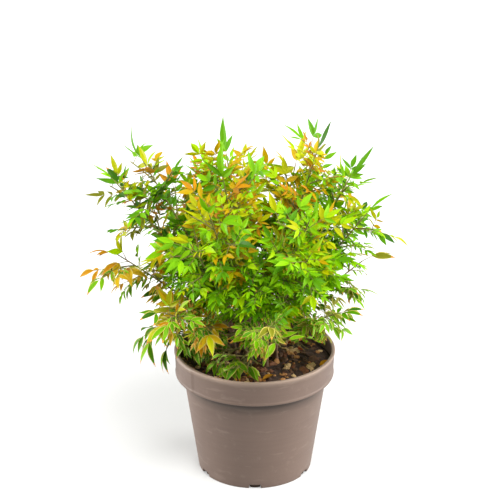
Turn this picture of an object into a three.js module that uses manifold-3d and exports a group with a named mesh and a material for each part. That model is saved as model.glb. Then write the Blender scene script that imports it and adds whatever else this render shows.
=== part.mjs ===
// Heavenly bamboo, a compact evergreen shrub, growing in a round plastic nursery pot.
//
// Millimetres, +Z up. The origin is the centre of the pot's flat underside.
// A clump of canes stands on the potting mix. The inner canes carry the top of the crown and the outer ones
// the ring below it, and boughs leave the outer canes for the shoulder, the middle and the skirt. At the
// end of each limb sits one mass of foliage: a stem with side fronds, and leaves in opposite pairs, fused
// into one solid. Every mass keeps to its own cone of space, seen from the crown's root, so none touch.

import * as THREE from "three";
import { mergeVertices } from "three/addons/utils/BufferGeometryUtils.js";
import Module from "manifold-3d";

const wasm = await Module();
wasm.setup();

// ---------------------------------------------------------------- driving dimensions

const GAP = 0.3; // left between solids that rest on or grow from each other
const TURN = 2 * Math.PI;
const UP = new THREE.Vector3(0, 0, 1);

const POT = {
  height: 190,
  rimRadius: 118,
  footRadius: 84,
  neckRadius: 106, // the body, just under the collar
  collarHeight: 38,
  collarFootRadius: 116.5,
  wall: 2.4,
  base: 3,
  lip: 5.5, // width of the rounded rim, seen from above
  lipDepth: 3.5,
  edge: 1.2, // chamfer of the foot, the collar and the rim
  sides: 35,
};
const DRAIN = { count: 6, width: 19, topWidth: 16, height: 6.5, depth: 11 };
const GRIP_PANEL = { from: 167, to: 220, proud: 1.1, inset: 2, steps: 9 }; // degrees round from +X
const MIX = { centreTop: 172, edgeTop: 166, flatRadius: 48, sides: 24 };

const CROWN_ROOT = new THREE.Vector3(0, 0, 190); // every cone of space starts here
// Each ring of the crown, from the top down: where its first mass points and how far round the others fan
// out, how steeply they rise, the share of a mass's reach at which its limb ends and its stem starts, how
// much its leaves hang, how many fronds leave each stem, how far round it each is turned on from the last,
// and how far each mass reaches, going round. The skirt leaves the pot's +X side open.
const RINGS = [
  {
    name: "top", first: 0, fan: 360, rise: 75, start: 0.42, hang: 0, fronds: 5, turn: 137.5,
    reaches: [366, 336, 350],
  },
  {
    name: "upper", first: 0, fan: 360, rise: 62, start: 0.42, hang: 0, fronds: 5, turn: 180,
    reaches: [350, 325, 312, 381, 345, 335],
  },
  {
    name: "shoulder", first: 0, fan: 360, rise: 53, start: 0.38, hang: 0.06, fronds: 5, turn: 180,
    reaches: [315, 300, 312, 385, 330, 310],
  },
  {
    name: "middle", first: 172, fan: 360, rise: 35, start: 0.3, hang: 0.18, fronds: 4, turn: 180,
    reaches: [298, 262, 255, 218, 255, 262, 280],
  },
  {
    name: "skirt", first: 86, fan: 225, rise: 12, start: 0.4, hang: 0.5, fronds: 3, turn: 180,
    reaches: [172, 170, 205, 126, 124],
  },
];
const HANG_LEAN = 0.2; // leaves hang this share more on the -X side, and less on the +X side
const JITTER = { azimuth: 3, rise: 1.5 }; // degrees either way
const LIMB_PULL = 0.35; // how far a limb holds its first and its last direction, as a share of its length

const CANE = { radius: 3.4, tipRadius: 2, flare: 1.6, flareHeight: 9, sides: 6, steps: 5 };
const CANE_FOOT = { top: 11, upper: 30 }; // distance of a cane's foot from the axis, by ring
const BOUGH = { radius: 2.1, tipRadius: 1.5, sides: 5, steps: 4 };
const BOUGH_HEIGHT = { shoulder: 0.6, middle: 0.4, skirt: 0.2 }; // share of its cane at which a bough leaves
const STEM = { radius: 1.6, tipRadius: 0.9, steps: 4 };
const FROND = { radius: 1.3, tipRadius: 0.9, steps: 2, angle: 54, sway: 0.6, first: 0.06, last: 0.8 };
const FROND_LENGTH = { share: 0.3, less: 28, shortest: 14 }; // a share of its distance from the crown's root
const TWIG_SIDES = 3;
const LEAF = { length: 56, width: 20, fold: 2.6, widest: 0.42, angle: 54 };
const SUNK = { side: 0.3, end: 2.2 }; // how far behind its twig's middle or end a leaf's root lies
const PAIRS_ON_FROND = [0.3, 0.9];
const PAIRS_ON_STEM = [0.88];
// How far fronds and leaves may swing in to stay in their mass's space, least first.
const FROND_SWINGS = [0, 0.35, 0.65];
const LEAF_SWINGS = [0, 0.5, 1.2];
// What leaves and twigs keep from their space's edge, from limbs, from the pot and from each other.
const CLEAR = { space: 0.4, limb: 1.5, pot: 3, leaf: 5 };

const COLOURS = {
  pot: 0x8a7668,
  mix: 0x2e2018,
  cane: 0x6b5236,
  bough: 0x6d5a30,
  top: 0xc9a51c,
  upper: 0xa0b81c,
  shoulder: 0x7ab81e,
  middle: 0x55a01e,
  skirt: 0x3f7f22,
};

// ---------------------------------------------------------------- small tools

const radians = THREE.MathUtils.degToRad;
const mix = THREE.MathUtils.lerp;

// A repeatable number from 0 to 1 for any whole numbers: the same twig always gets the same chance.
function chance(...keys) {
  let h = 0x9e3779b9 | 0;
  for (const key of keys) {
    h = Math.imul(h ^ (key + 0x7f4a7c15), 0x85ebca6b);
    h ^= h >>> 13;
    h = Math.imul(h, 0xc2b2ae35);
    h ^= h >>> 16;
  }
  return (h >>> 0) / 2 ** 32;
}

// A repeatable number from -1 to 1.
const sway = (...keys) => 2 * chance(...keys) - 1;

function direction(azimuthDegrees, riseDegrees) {
  const a = radians(azimuthDegrees);
  const e = radians(riseDegrees);
  return new THREE.Vector3(Math.cos(a) * Math.cos(e), Math.sin(a) * Math.cos(e), Math.sin(e));
}

const along = (from, way, distance) => from.clone().addScaledVector(way, distance);

// The part of v that is square to the unit vector n, made one long.
const squareTo = (v, n) => v.clone().addScaledVector(n, -v.dot(n)).normalize();

function solidOf(geometry) {
  const bare = new THREE.BufferGeometry().setAttribute("position", geometry.getAttribute("position"));
  bare.setIndex(geometry.index);
  const merged = mergeVertices(bare, 1e-3);
  return new wasm.Manifold(
    new wasm.Mesh({
      numProp: 3,
      vertProperties: merged.getAttribute("position").array,
      triVerts: new Uint32Array(merged.index.array),
    }),
  );
}

function geometryOf(solid) {
  const { numProp, vertProperties, triVerts } = solid.getMesh();
  const corners = new Float32Array((vertProperties.length / numProp) * 3);
  for (let i = 0; i < corners.length / 3; i++) {
    corners.set(vertProperties.subarray(i * numProp, i * numProp + 3), i * 3);
  }
  const geometry = new THREE.BufferGeometry();
  geometry.setAttribute("position", new THREE.BufferAttribute(corners, 3));
  geometry.setIndex(new THREE.BufferAttribute(triVerts, 1));
  geometry.computeVertexNormals();
  return geometry;
}

// Joins solids into one. Sealed hollows are filled and loose scraps dropped, so one closed body is left.
function fused(solids) {
  const bodies = wasm.Manifold.union(solids).decompose();
  return bodies.reduce((a, b) => (b.volume() > a.volume() ? b : a));
}

// ---------------------------------------------------------------- limbs

// A tapering limb along a curve, with flat ends. radiusAt takes the share of the length from 0 to 1.
// With footLevel, the first end is cut level at that height.
function limbGeometry(curve, radiusAt, steps, sides, footLevel = null) {
  const { normals, binormals } = curve.computeFrenetFrames(steps, false);
  const corners = [];
  for (let i = 0; i <= steps; i++) {
    const centre = curve.getPointAt(i / steps);
    const radius = radiusAt(i / steps);
    for (let k = 0; k < sides; k++) {
      const turn = (TURN * k) / sides;
      const corner = centre
        .clone()
        .addScaledVector(normals[i], radius * Math.cos(turn))
        .addScaledVector(binormals[i], radius * Math.sin(turn));
      if (i === 0 && footLevel !== null) corner.z = footLevel;
      corners.push(corner.x, corner.y, corner.z);
    }
  }
  const faces = [];
  for (let i = 0; i < steps; i++) {
    for (let k = 0; k < sides; k++) {
      const a = i * sides + k;
      const b = i * sides + ((k + 1) % sides);
      faces.push(a, b, b + sides, a, b + sides, a + sides);
    }
  }
  const last = steps * sides;
  for (let k = 1; k < sides - 1; k++) {
    faces.push(0, k + 1, k, last, last + k, last + k + 1);
  }
  const geometry = new THREE.BufferGeometry();
  geometry.setAttribute("position", new THREE.Float32BufferAttribute(corners, 3));
  geometry.setIndex(faces);
  return geometry;
}

// Points and radii along a limb, to measure how near a leaf comes.
function spine(curve, radiusAt, steps) {
  return Array.from({ length: steps + 1 }, (_, i) => ({
    point: curve.getPointAt(i / steps),
    radius: radiusAt(i / steps),
  }));
}

const nearest = new THREE.Vector3();
const stretch = new THREE.Line3();

function clearOfLimbs(point, spines) {
  return spines.every((links) =>
    links.slice(1).every((link, i) => {
      stretch.set(links[i].point, link.point);
      stretch.closestPointToPoint(point, true, nearest);
      return nearest.distanceTo(point) > Math.max(link.radius, links[i].radius) + CLEAR.limb;
    }),
  );
}

// ---------------------------------------------------------------- pot and potting mix

// The pot's inner radius at a height, from the floor of the pot to the underside of its lip.
function innerRadius(height) {
  const neck = POT.height - POT.collarHeight;
  if (height <= neck) return mix(POT.footRadius, POT.neckRadius, height / neck) - POT.wall;
  const share = (height - neck) / POT.collarHeight;
  return mix(POT.collarFootRadius, POT.rimRadius, share) - POT.wall;
}

function potGeometry() {
  const neck = POT.height - POT.collarHeight;
  const { height, edge, rimRadius, wall } = POT;
  const profile = [
    [0, 0],
    [POT.footRadius - edge, 0],
    [POT.footRadius, edge],
    [POT.neckRadius, neck],
    [POT.collarFootRadius - edge, neck],
    [POT.collarFootRadius, neck + edge],
    [rimRadius, height - 2 * edge],
    [rimRadius - edge, height],
    [rimRadius - POT.lip + edge, height],
    [rimRadius - POT.lip, height - edge],
    [rimRadius - POT.lip, height - POT.lipDepth],
    [rimRadius - wall, height - POT.lipDepth - wall],
    [POT.collarFootRadius - wall, neck + wall],
    [POT.neckRadius - wall, neck - wall],
    [innerRadius(POT.base), POT.base],
    [0, POT.base],
  ].map(([radius, z]) => new THREE.Vector2(radius, z));
  return new THREE.LatheGeometry(profile, POT.sides).rotateX(Math.PI / 2);
}

// A wedge-topped drain slot through the corner of the pot's foot, pointing along +X.
function drainCutter() {
  const outline = new THREE.Shape([
    new THREE.Vector2(-DRAIN.width / 2, -1),
    new THREE.Vector2(DRAIN.width / 2, -1),
    new THREE.Vector2(DRAIN.topWidth / 2, DRAIN.height),
    new THREE.Vector2(-DRAIN.topWidth / 2, DRAIN.height),
  ]);
  const length = DRAIN.depth + POT.wall;
  return new THREE.ExtrudeGeometry(outline, { depth: length, bevelEnabled: false })
    .rotateX(Math.PI / 2)
    .rotateZ(Math.PI / 2)
    .translate(POT.footRadius - DRAIN.depth, 0, 0);
}

// A stretch of the collar that stands a little proud, to take hold of the pot by.
function gripPanelGeometry() {
  const low = POT.height - POT.collarHeight;
  const high = POT.height - GRIP_PANEL.inset;
  const arc = (radius, backwards) =>
    Array.from({ length: GRIP_PANEL.steps + 1 }, (_, i) => {
      const share = (backwards ? GRIP_PANEL.steps - i : i) / GRIP_PANEL.steps;
      const turn = radians(mix(GRIP_PANEL.from, GRIP_PANEL.to, share));
      return new THREE.Vector2(radius * Math.cos(turn), radius * Math.sin(turn));
    });
  const outer = POT.rimRadius + GRIP_PANEL.proud;
  const outline = new THREE.Shape([...arc(outer, false), ...arc(POT.rimRadius - POT.wall, true)]);
  return new THREE.ExtrudeGeometry(outline, { depth: high - low, bevelEnabled: false }).translate(0, 0, low);
}

function potSolid() {
  const drains = Array.from({ length: DRAIN.count }, (_, i) =>
    // The first slot faces -Y.
    solidOf(drainCutter().rotateZ((TURN * i) / DRAIN.count - Math.PI / 2)),
  );
  const whole = solidOf(potGeometry()).add(solidOf(gripPanelGeometry()));
  return whole.subtract(wasm.Manifold.union(drains));
}

function mixGeometry() {
  const neck = POT.height - POT.collarHeight;
  const floor = POT.base + GAP;
  const shoulder = neck + POT.wall;
  const profile = [
    [0, floor],
    [innerRadius(floor) - 2 * GAP, floor],
    [POT.neckRadius - POT.wall - 2 * GAP, neck - POT.wall],
    [POT.collarFootRadius - POT.wall - 2 * GAP, shoulder + GAP],
    [innerRadius(MIX.edgeTop) - 2 * GAP, MIX.edgeTop],
    [MIX.flatRadius, MIX.centreTop],
    [0, MIX.centreTop],
  ].map(([radius, z]) => new THREE.Vector2(radius, z));
  return new THREE.LatheGeometry(profile, MIX.sides).rotateX(Math.PI / 2);
}

// ---------------------------------------------------------------- plan of the crown

// Every mass of foliage: its cone's direction, its tip, and where its limb hands over to it.
function crownPlan() {
  return RINGS.flatMap((ring, r) =>
    ring.reaches.map((reach, i) => {
      const azimuth = ring.first + (ring.fan * i) / ring.reaches.length + JITTER.azimuth * sway(r, i, 1);
      const way = direction(azimuth, ring.rise + JITTER.rise * sway(r, i, 2));
      return {
        name: `${ring.name}_${i + 1}`,
        key: 100 * r + i,
        ring,
        azimuth,
        way,
        reach,
        hang: ring.hang * (1 - HANG_LEAN * Math.cos(radians(azimuth))),
        start: along(CROWN_ROOT, way, ring.start * reach),
      };
    }),
  );
}

// True if a point lies in a mass's own cone, clear of the planes halfway to its neighbours' cones.
function inSpace(point, mass, plan) {
  const arm = point.clone().sub(CROWN_ROOT);
  return plan.every((other) => {
    if (other === mass) return true;
    const between = mass.way.clone().sub(other.way);
    return arm.dot(between) > CLEAR.space * between.length();
  });
}

function clearOfPot(point) {
  const radius = Math.hypot(point.x, point.y);
  if (radius > POT.rimRadius + CLEAR.pot) return point.z > CLEAR.pot;
  if (radius > POT.rimRadius - POT.lip - CLEAR.pot) return point.z > POT.height + CLEAR.pot;
  return point.z > MIX.centreTop + CLEAR.pot;
}

// ---------------------------------------------------------------- canes and boughs

const taper = ({ radius, tipRadius }) => (share) => mix(radius, tipRadius, share);

function caneRadius(share, length) {
  const flare = Math.max(0, 1 - (share * length) / CANE.flareHeight);
  return taper(CANE)(share) + CANE.flare * flare * flare;
}

// From its root a limb sets out one way, and it ends in line with the stem of its mass, just clear of it.
function limbCurve(root, out, mass) {
  const end = along(mass.start, mass.way, -GAP);
  const pull = LIMB_PULL * root.distanceTo(end);
  return new THREE.CubicBezierCurve3(root, along(root, out, pull), along(end, mass.way, -pull), end);
}

// A cane rises straight out of the mix, then leans out to the start of its mass.
function caneCurve(mass) {
  const foot = direction(mass.azimuth, 0).multiplyScalar(CANE_FOOT[mass.ring.name]);
  foot.z = MIX.centreTop + GAP;
  return limbCurve(foot, UP, mass);
}

// A bough leaves the side of the nearest outer cane, square to it, and arches out to its mass.
function boughCurve(mass, canes) {
  const apart = (cane) => 1 - Math.cos(radians(cane.mass.azimuth - mass.azimuth));
  const cane = canes.reduce((a, b) => (apart(b) < apart(a) ? b : a));
  const share = BOUGH_HEIGHT[mass.ring.name];
  const heart = cane.curve.getPointAt(share);
  const out = squareTo(mass.start.clone().sub(heart), cane.curve.getTangentAt(share));
  return limbCurve(along(heart, out, cane.radiusAt(share) + GAP), out, mass);
}

// ---------------------------------------------------------------- leaves and fronds

// The way a blade's upper face looks: up and away from the crown's axis.
function faceOf(way, point, roll) {
  const outward = new THREE.Vector3(point.x, point.y, 0).normalize();
  const hint = UP.clone().multiplyScalar(0.85).addScaledVector(outward, 0.5);
  return squareTo(hint, way).applyAxisAngle(way, roll);
}

// One leaf that leaves a twig at a point. side is -1, 1, or 0 for the last leaf, straight on.
function leafPlan(point, forward, side, mass, ...keys) {
  const across = forward.clone().cross(faceOf(forward, point, 0));
  const angle = radians(LEAF.angle + 10 * sway(...keys, 1)) * side;
  const way = forward.clone().multiplyScalar(Math.cos(angle)).addScaledVector(across, Math.sin(angle));
  way.addScaledVector(UP, -mass.hang * (0.7 + 0.5 * chance(...keys, 2))).normalize();
  return {
    root: along(point, way, side === 0 ? -SUNK.end : -SUNK.side),
    way,
    face: faceOf(way, point, 0.45 * sway(...keys, 4)),
    length: LEAF.length * (1 + 0.15 * sway(...keys, 3)),
  };
}

// The same leaf, swung towards the direction of its mass.
function swungIn(leaf, swing, mass) {
  const way = leaf.way.clone().addScaledVector(mass.way, swing).normalize();
  return { ...leaf, way, face: squareTo(leaf.face, way) };
}

// A point on a twig as it is built, in straight steps.
function pointOn(curve, steps, share) {
  const before = Math.min(Math.floor(share * steps), steps - 1);
  const after = curve.getPointAt((before + 1) / steps);
  return curve.getPointAt(before / steps).lerp(after, share * steps - before);
}

// The leaves of one twig: one at its end and opposite pairs along it.
function leavesAlong(curve, steps, pairs, mass, ...keys) {
  const leaves = [leafPlan(curve.getPointAt(1), curve.getTangentAt(1), 0, mass, ...keys, 9, 9)];
  pairs.forEach((share, p) => {
    const point = pointOn(curve, steps, share);
    const forward = curve.getTangentAt(share);
    for (const side of [-1, 1]) leaves.push(leafPlan(point, forward, side, mass, ...keys, p, side + 1));
  });
  return leaves;
}

// A leaf: a lance-shaped blade folded up from its midrib and filled in between. Four faces.
function leafCorners({ root, way, face, length }) {
  const across = way.clone().cross(face);
  const middle = along(along(root, way, LEAF.widest * length), face, LEAF.fold);
  const half = (LEAF.width * length) / LEAF.length / 2;
  return [root, along(root, way, length), along(middle, across, -half), along(middle, across, half)];
}

const LEAF_FACES = [0, 3, 2, 1, 2, 3, 0, 2, 1, 0, 1, 3];

function leafGeometry(leaf) {
  const geometry = new THREE.BufferGeometry().setFromPoints(leafCorners(leaf));
  geometry.setIndex(LEAF_FACES);
  return geometry;
}

// The stem of a mass: on from its limb's end, sagging towards its tip, which is one leaf short of its reach.
function stemCurve(mass) {
  const end = along(CROWN_ROOT, mass.way, mass.reach - 0.9 * LEAF.length);
  const length = mass.start.distanceTo(end);
  const elbow = along(mass.start, mass.way, 0.5 * length);
  end.z -= 0.2 * mass.hang * length;
  return new THREE.QuadraticBezierCurve3(mass.start.clone(), elbow, end);
}

// One side frond of a mass. swing turns it towards the stem, as far as it needs to stay in its space.
function frondCurve(stem, mass, i, swing) {
  const share = mix(FROND.first, FROND.last, i / (mass.ring.fronds - 1));
  const root = pointOn(stem, STEM.steps, share);
  const forward = stem.getTangentAt(share);
  const round = Math.PI / 2 + i * radians(mass.ring.turn) + FROND.sway * sway(mass.key, i, 3);
  const side = squareTo(UP, forward).applyAxisAngle(forward, round);
  const angle = radians(FROND.angle + 8 * sway(mass.key, i, 1)) * (1 - swing);
  const way = forward.clone().multiplyScalar(Math.cos(angle)).addScaledVector(side, Math.sin(angle));
  const roomy = FROND_LENGTH.share * root.distanceTo(CROWN_ROOT) - FROND_LENGTH.less;
  const length = Math.max(FROND_LENGTH.shortest, roomy * (1 + 0.15 * sway(mass.key, i, 2)));
  const elbow = along(root, way, length / 2);
  const end = along(root, way, length);
  end.z -= (0.08 + 0.25 * mass.hang) * length;
  return new THREE.QuadraticBezierCurve3(root, elbow, end);
}

// ---------------------------------------------------------------- masses of foliage

// Points over a leaf's blade, close enough together to find whatever it would touch.
function leafPoints(leaf) {
  const [root, tip, left, right] = leafCorners(leaf);
  const towardsTip = (from, shares) => shares.map((share) => from.clone().lerp(tip, share));
  const edges = [left, right].flatMap((corner) => towardsTip(corner, [0, 0.3, 0.65]));
  return [...towardsTip(root, [0.25, 0.4, 0.55, 0.7, 0.85, 1]), ...edges];
}

// True if no kept leaf runs through a new one. Near their roots leaves may meet.
function clearOfLeaves(leaf, kept) {
  const shares = [0.3, 0.5, 0.7, 0.9];
  const points = shares.map((share) => along(leaf.root, leaf.way, share * leaf.length));
  return kept.every((other) => {
    stretch.set(along(other.root, other.way, 0.3 * other.length), along(other.root, other.way, other.length));
    return points.every((point) => {
      stretch.closestPointToPoint(point, true, nearest);
      return nearest.distanceTo(point) > CLEAR.leaf;
    });
  });
}

// The first of some tries that stays in the mass's space, clear of limbs, pot and leaves, or undefined.
function firstThatFits(tries, pointsOf, mass, plan, spines) {
  return tries.find((tried) =>
    pointsOf(tried).every((p) => inSpace(p, mass, plan) && clearOfPot(p) && clearOfLimbs(p, spines)),
  );
}

function massSolid(mass, plan, spines) {
  const stem = stemCurve(mass);
  const solids = [solidOf(limbGeometry(stem, taper(STEM), STEM.steps, TWIG_SIDES))];
  let leaves = leavesAlong(stem, STEM.steps, PAIRS_ON_STEM, mass, mass.key, 50);
  for (let i = 0; i < mass.ring.fronds; i++) {
    const tries = FROND_SWINGS.map((swing) => frondCurve(stem, mass, i, swing));
    const frond = firstThatFits(tries, (curve) => curve.getPoints(4).slice(1), mass, plan, spines);
    if (!frond) continue;
    solids.push(solidOf(limbGeometry(frond, taper(FROND), FROND.steps, TWIG_SIDES)));
    leaves = leaves.concat(leavesAlong(frond, FROND.steps, PAIRS_ON_FROND, mass, mass.key, i));
  }
  const kept = [];
  for (const wanted of leaves) {
    const tries = LEAF_SWINGS.map((swing) => swungIn(wanted, swing, mass));
    const open = tries.filter((tried) => clearOfLeaves(tried, kept));
    const leaf = firstThatFits(open, leafPoints, mass, plan, spines);
    if (!leaf) continue;
    kept.push(leaf);
    solids.push(solidOf(leafGeometry(leaf)));
  }
  return fused(solids);
}

// ---------------------------------------------------------------- the plant in its pot

const finish = (color, roughness) => new THREE.MeshStandardMaterial({ color, roughness, metalness: 0 });

const plant = new THREE.Group();
plant.name = "heavenly_bamboo";

function addPiece(name, geometry, material) {
  const mesh = new THREE.Mesh(geometry, material);
  mesh.name = name;
  plant.add(mesh);
}

addPiece("pot", geometryOf(potSolid()), finish(COLOURS.pot, 0.55));
addPiece("potting_mix", mixGeometry(), finish(COLOURS.mix, 0.95));

const plan = crownPlan();
const canes = [];
const spines = [];

for (const mass of plan.filter(({ ring }) => ring.name in CANE_FOOT)) {
  const curve = caneCurve(mass);
  const length = curve.getLength();
  const radiusAt = (share) => caneRadius(share, length);
  canes.push({ mass, curve, radiusAt });
  spines.push(spine(curve, radiusAt, CANE.steps));
  const geometry = limbGeometry(curve, radiusAt, CANE.steps, CANE.sides, MIX.centreTop + GAP);
  addPiece(`cane_${mass.name}`, geometry, finish(COLOURS.cane, 0.8));
}

const outerCanes = canes.filter(({ mass }) => mass.ring.name === "upper");
for (const mass of plan.filter(({ ring }) => ring.name in BOUGH_HEIGHT)) {
  const curve = boughCurve(mass, outerCanes);
  spines.push(spine(curve, taper(BOUGH), BOUGH.steps));
  const geometry = limbGeometry(curve, taper(BOUGH), BOUGH.steps, BOUGH.sides);
  addPiece(`bough_${mass.name}`, geometry, finish(COLOURS.bough, 0.7));
}

for (const mass of plan) {
  const solid = massSolid(mass, plan, spines);
  addPiece(`foliage_${mass.name}`, geometryOf(solid), finish(COLOURS[mass.ring.name], 0.5));
}

export default plant;
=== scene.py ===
# %% [markdown]
# # A heavenly bamboo in its nursery pot
#
# This lesson dresses the plain solids of a potted shrub. The shrub is a compact heavenly bamboo: thin
# canes, leaf stalks that branch and branch again, and lance-shaped leaflets from dark green to gold.
# The first cell loads the solids as a fixed frame. Every piece that we make takes its place from them.

# %% The frame
import math
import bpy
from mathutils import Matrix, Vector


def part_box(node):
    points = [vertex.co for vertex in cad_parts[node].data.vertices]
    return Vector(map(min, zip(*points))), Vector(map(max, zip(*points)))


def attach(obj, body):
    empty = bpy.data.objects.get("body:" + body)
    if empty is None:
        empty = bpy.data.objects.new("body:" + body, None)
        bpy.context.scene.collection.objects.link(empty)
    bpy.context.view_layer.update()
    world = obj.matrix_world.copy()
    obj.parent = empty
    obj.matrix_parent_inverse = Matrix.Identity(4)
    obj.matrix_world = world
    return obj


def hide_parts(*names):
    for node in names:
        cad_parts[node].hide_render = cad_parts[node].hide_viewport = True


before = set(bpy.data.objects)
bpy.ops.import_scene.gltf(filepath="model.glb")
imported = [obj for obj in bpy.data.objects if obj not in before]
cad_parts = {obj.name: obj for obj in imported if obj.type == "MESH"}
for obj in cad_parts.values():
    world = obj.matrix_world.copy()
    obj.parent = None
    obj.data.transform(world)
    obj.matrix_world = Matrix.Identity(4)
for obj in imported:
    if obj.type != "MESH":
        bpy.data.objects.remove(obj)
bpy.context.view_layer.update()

from types import SimpleNamespace as Bundle

import bpy
import numpy as np
from mathutils import Quaternion, Vector, noise
from mathutils.geometry import interpolate_bezier, intersect_point_line

# %% [markdown]
# ## Camera, light and floor
#
# The camera stands three metres away, a little above the plant, with a long lens, so the pot's sides
# hardly converge. One softbox hangs overhead, to the front and a little to the right, so the collar shades
# the pot below it. One stands on either side, a little behind the plant, so the round pot is brightest at
# its sides. A fourth lights the floor far behind and keeps the background white. The floor glows softly, as
# a light table does, and fills the shadows. The Standard view keeps greens and golds as strong as they are.

# %% Camera
MM = 0.001  # the growth rule below counts in millimetres, as the source of the solids does

CAMERA = Bundle(
    distance=3.0, elevation=23.27, aim=Vector((-0.0074, 0, 0.3458)), lens=149.7, sensor=36,
    sees_as_far_as=60,
)


def make_camera():
    tilt = math.radians(CAMERA.elevation)
    back = Vector((0, -math.cos(tilt), math.sin(tilt)))
    camera = bpy.data.objects.new("camera", bpy.data.cameras.new("camera"))
    camera.data.lens = CAMERA.lens
    camera.data.sensor_width = CAMERA.sensor
    camera.data.clip_end = CAMERA.sees_as_far_as
    camera.location = CAMERA.aim + back * CAMERA.distance
    camera.rotation_euler = (-back).to_track_quat("-Z", "Y").to_euler()
    bpy.context.scene.collection.objects.link(camera)
    bpy.context.scene.camera = camera


make_camera()
print("camera at", [round(c, 3) for c in bpy.context.scene.camera.location])

# %% Light
LAMPS = [
    Bundle(name="overhead softbox", place=(0.6, -1.5, 2.9), size=2.0, power=190, aim=(0, 0, 0.3)),
    Bundle(name="left softbox", place=(-3.6, 0.9, 0.9), size=1.8, power=250, aim=(0, 0, 0.2)),
    Bundle(name="right softbox", place=(3.6, 0.4, 0.9), size=2.4, power=250, aim=(0, 0, 0.2)),
    Bundle(name="backdrop softbox", place=(0, 3.0, 3.0), size=3.0, power=260, aim=(0, 5.0, 0)),
]
SKY = Bundle(colour=(1.0, 1.0, 1.0, 1.0), strength=0.35)


def make_lamp(lamp):
    light = bpy.data.lights.new(lamp.name, "AREA")
    light.shape = "DISK"
    light.size = lamp.size
    light.energy = lamp.power
    holder = bpy.data.objects.new(lamp.name, light)
    holder.location = lamp.place
    towards = Vector(lamp.aim) - holder.location
    holder.rotation_euler = towards.to_track_quat("-Z", "Y").to_euler()
    bpy.context.scene.collection.objects.link(holder)


def make_sky():
    sky = bpy.data.worlds.new("studio sky")
    sky.use_nodes = True
    background = sky.node_tree.nodes["Background"]
    background.inputs["Color"].default_value = SKY.colour
    background.inputs["Strength"].default_value = SKY.strength
    bpy.context.scene.world = sky


for lamp in LAMPS:
    make_lamp(lamp)
make_sky()
bpy.context.scene.view_settings.view_transform = "Standard"
print("lamps:", [lamp.name for lamp in LAMPS])

# %% [markdown]
# ## Finishes written as sums
#
# A finish is a small network of nodes. To read well it is written as Python: `Wire` wraps one socket, so
# `a * 0.5 + b` lays down the Math nodes for us, and `Finish.add` makes any other node. Colours meet only
# in Mix nodes, because a Math node would turn them grey. `coats` lays one colour over another, each with a
# mask that says where it shows.

# %% Colours and wires


def linear(red, green, blue):
    """A colour as a paint chart gives it, from 0 to 255, as the light values that a shader takes."""
    shares = [c / 255 for c in (red, green, blue)]
    return (*[s / 12.92 if s <= 0.04045 else ((s + 0.055) / 1.055) ** 2.4 for s in shares], 1.0)


class Wire:
    """One output of a finish's nodes, which + and * reckon with."""

    def __init__(self, finish, socket):
        self.finish = finish
        self.socket = socket

    def _sum(self, operation, first, second):
        return self.finish.add("ShaderNodeMath", {"operation": operation}, {0: first, 1: second})

    def __add__(self, other):
        return self._sum("ADD", self, other)

    __radd__ = __add__

    def __mul__(self, other):
        return self._sum("MULTIPLY", self, other)

    __rmul__ = __mul__


print("mid grey:", [round(c, 3) for c in linear(128, 128, 128)])

# %% Finishes


class Finish:
    """A material in the making. shader is its Principled node."""

    def __init__(self, name, constants):
        self.material = bpy.data.materials.new(name)
        self.material.use_nodes = True
        self.tree = self.material.node_tree
        self.shader = self.tree.nodes["Principled BSDF"]
        for socket, value in constants.items():
            self.shader.inputs[socket].default_value = value

    def add(self, kind, settings=None, sockets=None, output=0):
        node = self.tree.nodes.new(kind)
        for name, value in (settings or {}).items():
            if name == "stops":
                self._set_stops(node.color_ramp, value)
            else:
                setattr(node, name, value)
        for name, value in (sockets or {}).items():
            self.plug(node.inputs[name], value)
        return Wire(self, node.outputs[output])

    def _set_stops(self, ramp, stops):
        while len(ramp.elements) < len(stops):
            ramp.elements.new(1.0)
        for element, (place, shade) in zip(ramp.elements, stops):
            element.position = place
            element.color = (shade, shade, shade, 1.0)

    def plug(self, socket, value):
        if isinstance(value, Wire):
            self.tree.links.new(value.socket, socket)
        else:
            socket.default_value = value

    def place(self):
        return self.add("ShaderNodeTexCoord", output="Object")

    def stretched(self, place, scale):
        return self.add("ShaderNodeMapping", None, {"Vector": place, "Scale": scale})

    def clouds(self, place, scale, detail=3.0, roughness=0.5):
        sockets = {"Vector": place, "Scale": scale, "Detail": detail, "Roughness": roughness}
        return self.add("ShaderNodeTexNoise", None, sockets)

    def ramp(self, value, *stops):
        return self.add("ShaderNodeValToRGB", {"stops": stops}, {0: value})

    def blend(self, share, first, second):
        settings = {"data_type": "RGBA"}
        return self.add("ShaderNodeMix", settings, {0: share, 6: first, 7: second}, output=2)

    def coats(self, body, layers):
        """A colour with others over it. Each layer is its mask, how much it covers there and its tint."""
        for mask, share, tint in layers:
            body = self.blend(mask * share, body, linear(*tint))
        return body

    def colour(self, value):
        self.plug(self.shader.inputs["Base Color"], value)

    def roughness(self, value):
        self.plug(self.shader.inputs["Roughness"], value)

    def relief(self, height, distance, strength=1.0):
        sockets = {"Height": height, "Distance": distance, "Strength": strength}
        self.plug(self.shader.inputs["Normal"], self.add("ShaderNodeBump", None, sockets))


print("a finish has:", [name for name in vars(Finish) if name[0] != "_"])

# %% Floor


def holder_of(mesh):
    """An object that holds this mesh, in the scene."""
    holder = bpy.data.objects.new(mesh.name, mesh)
    bpy.context.scene.collection.objects.link(holder)
    return holder


FLOOR = Bundle(half=8.0, glow=0.25, tint=(172, 172, 170))


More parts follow.
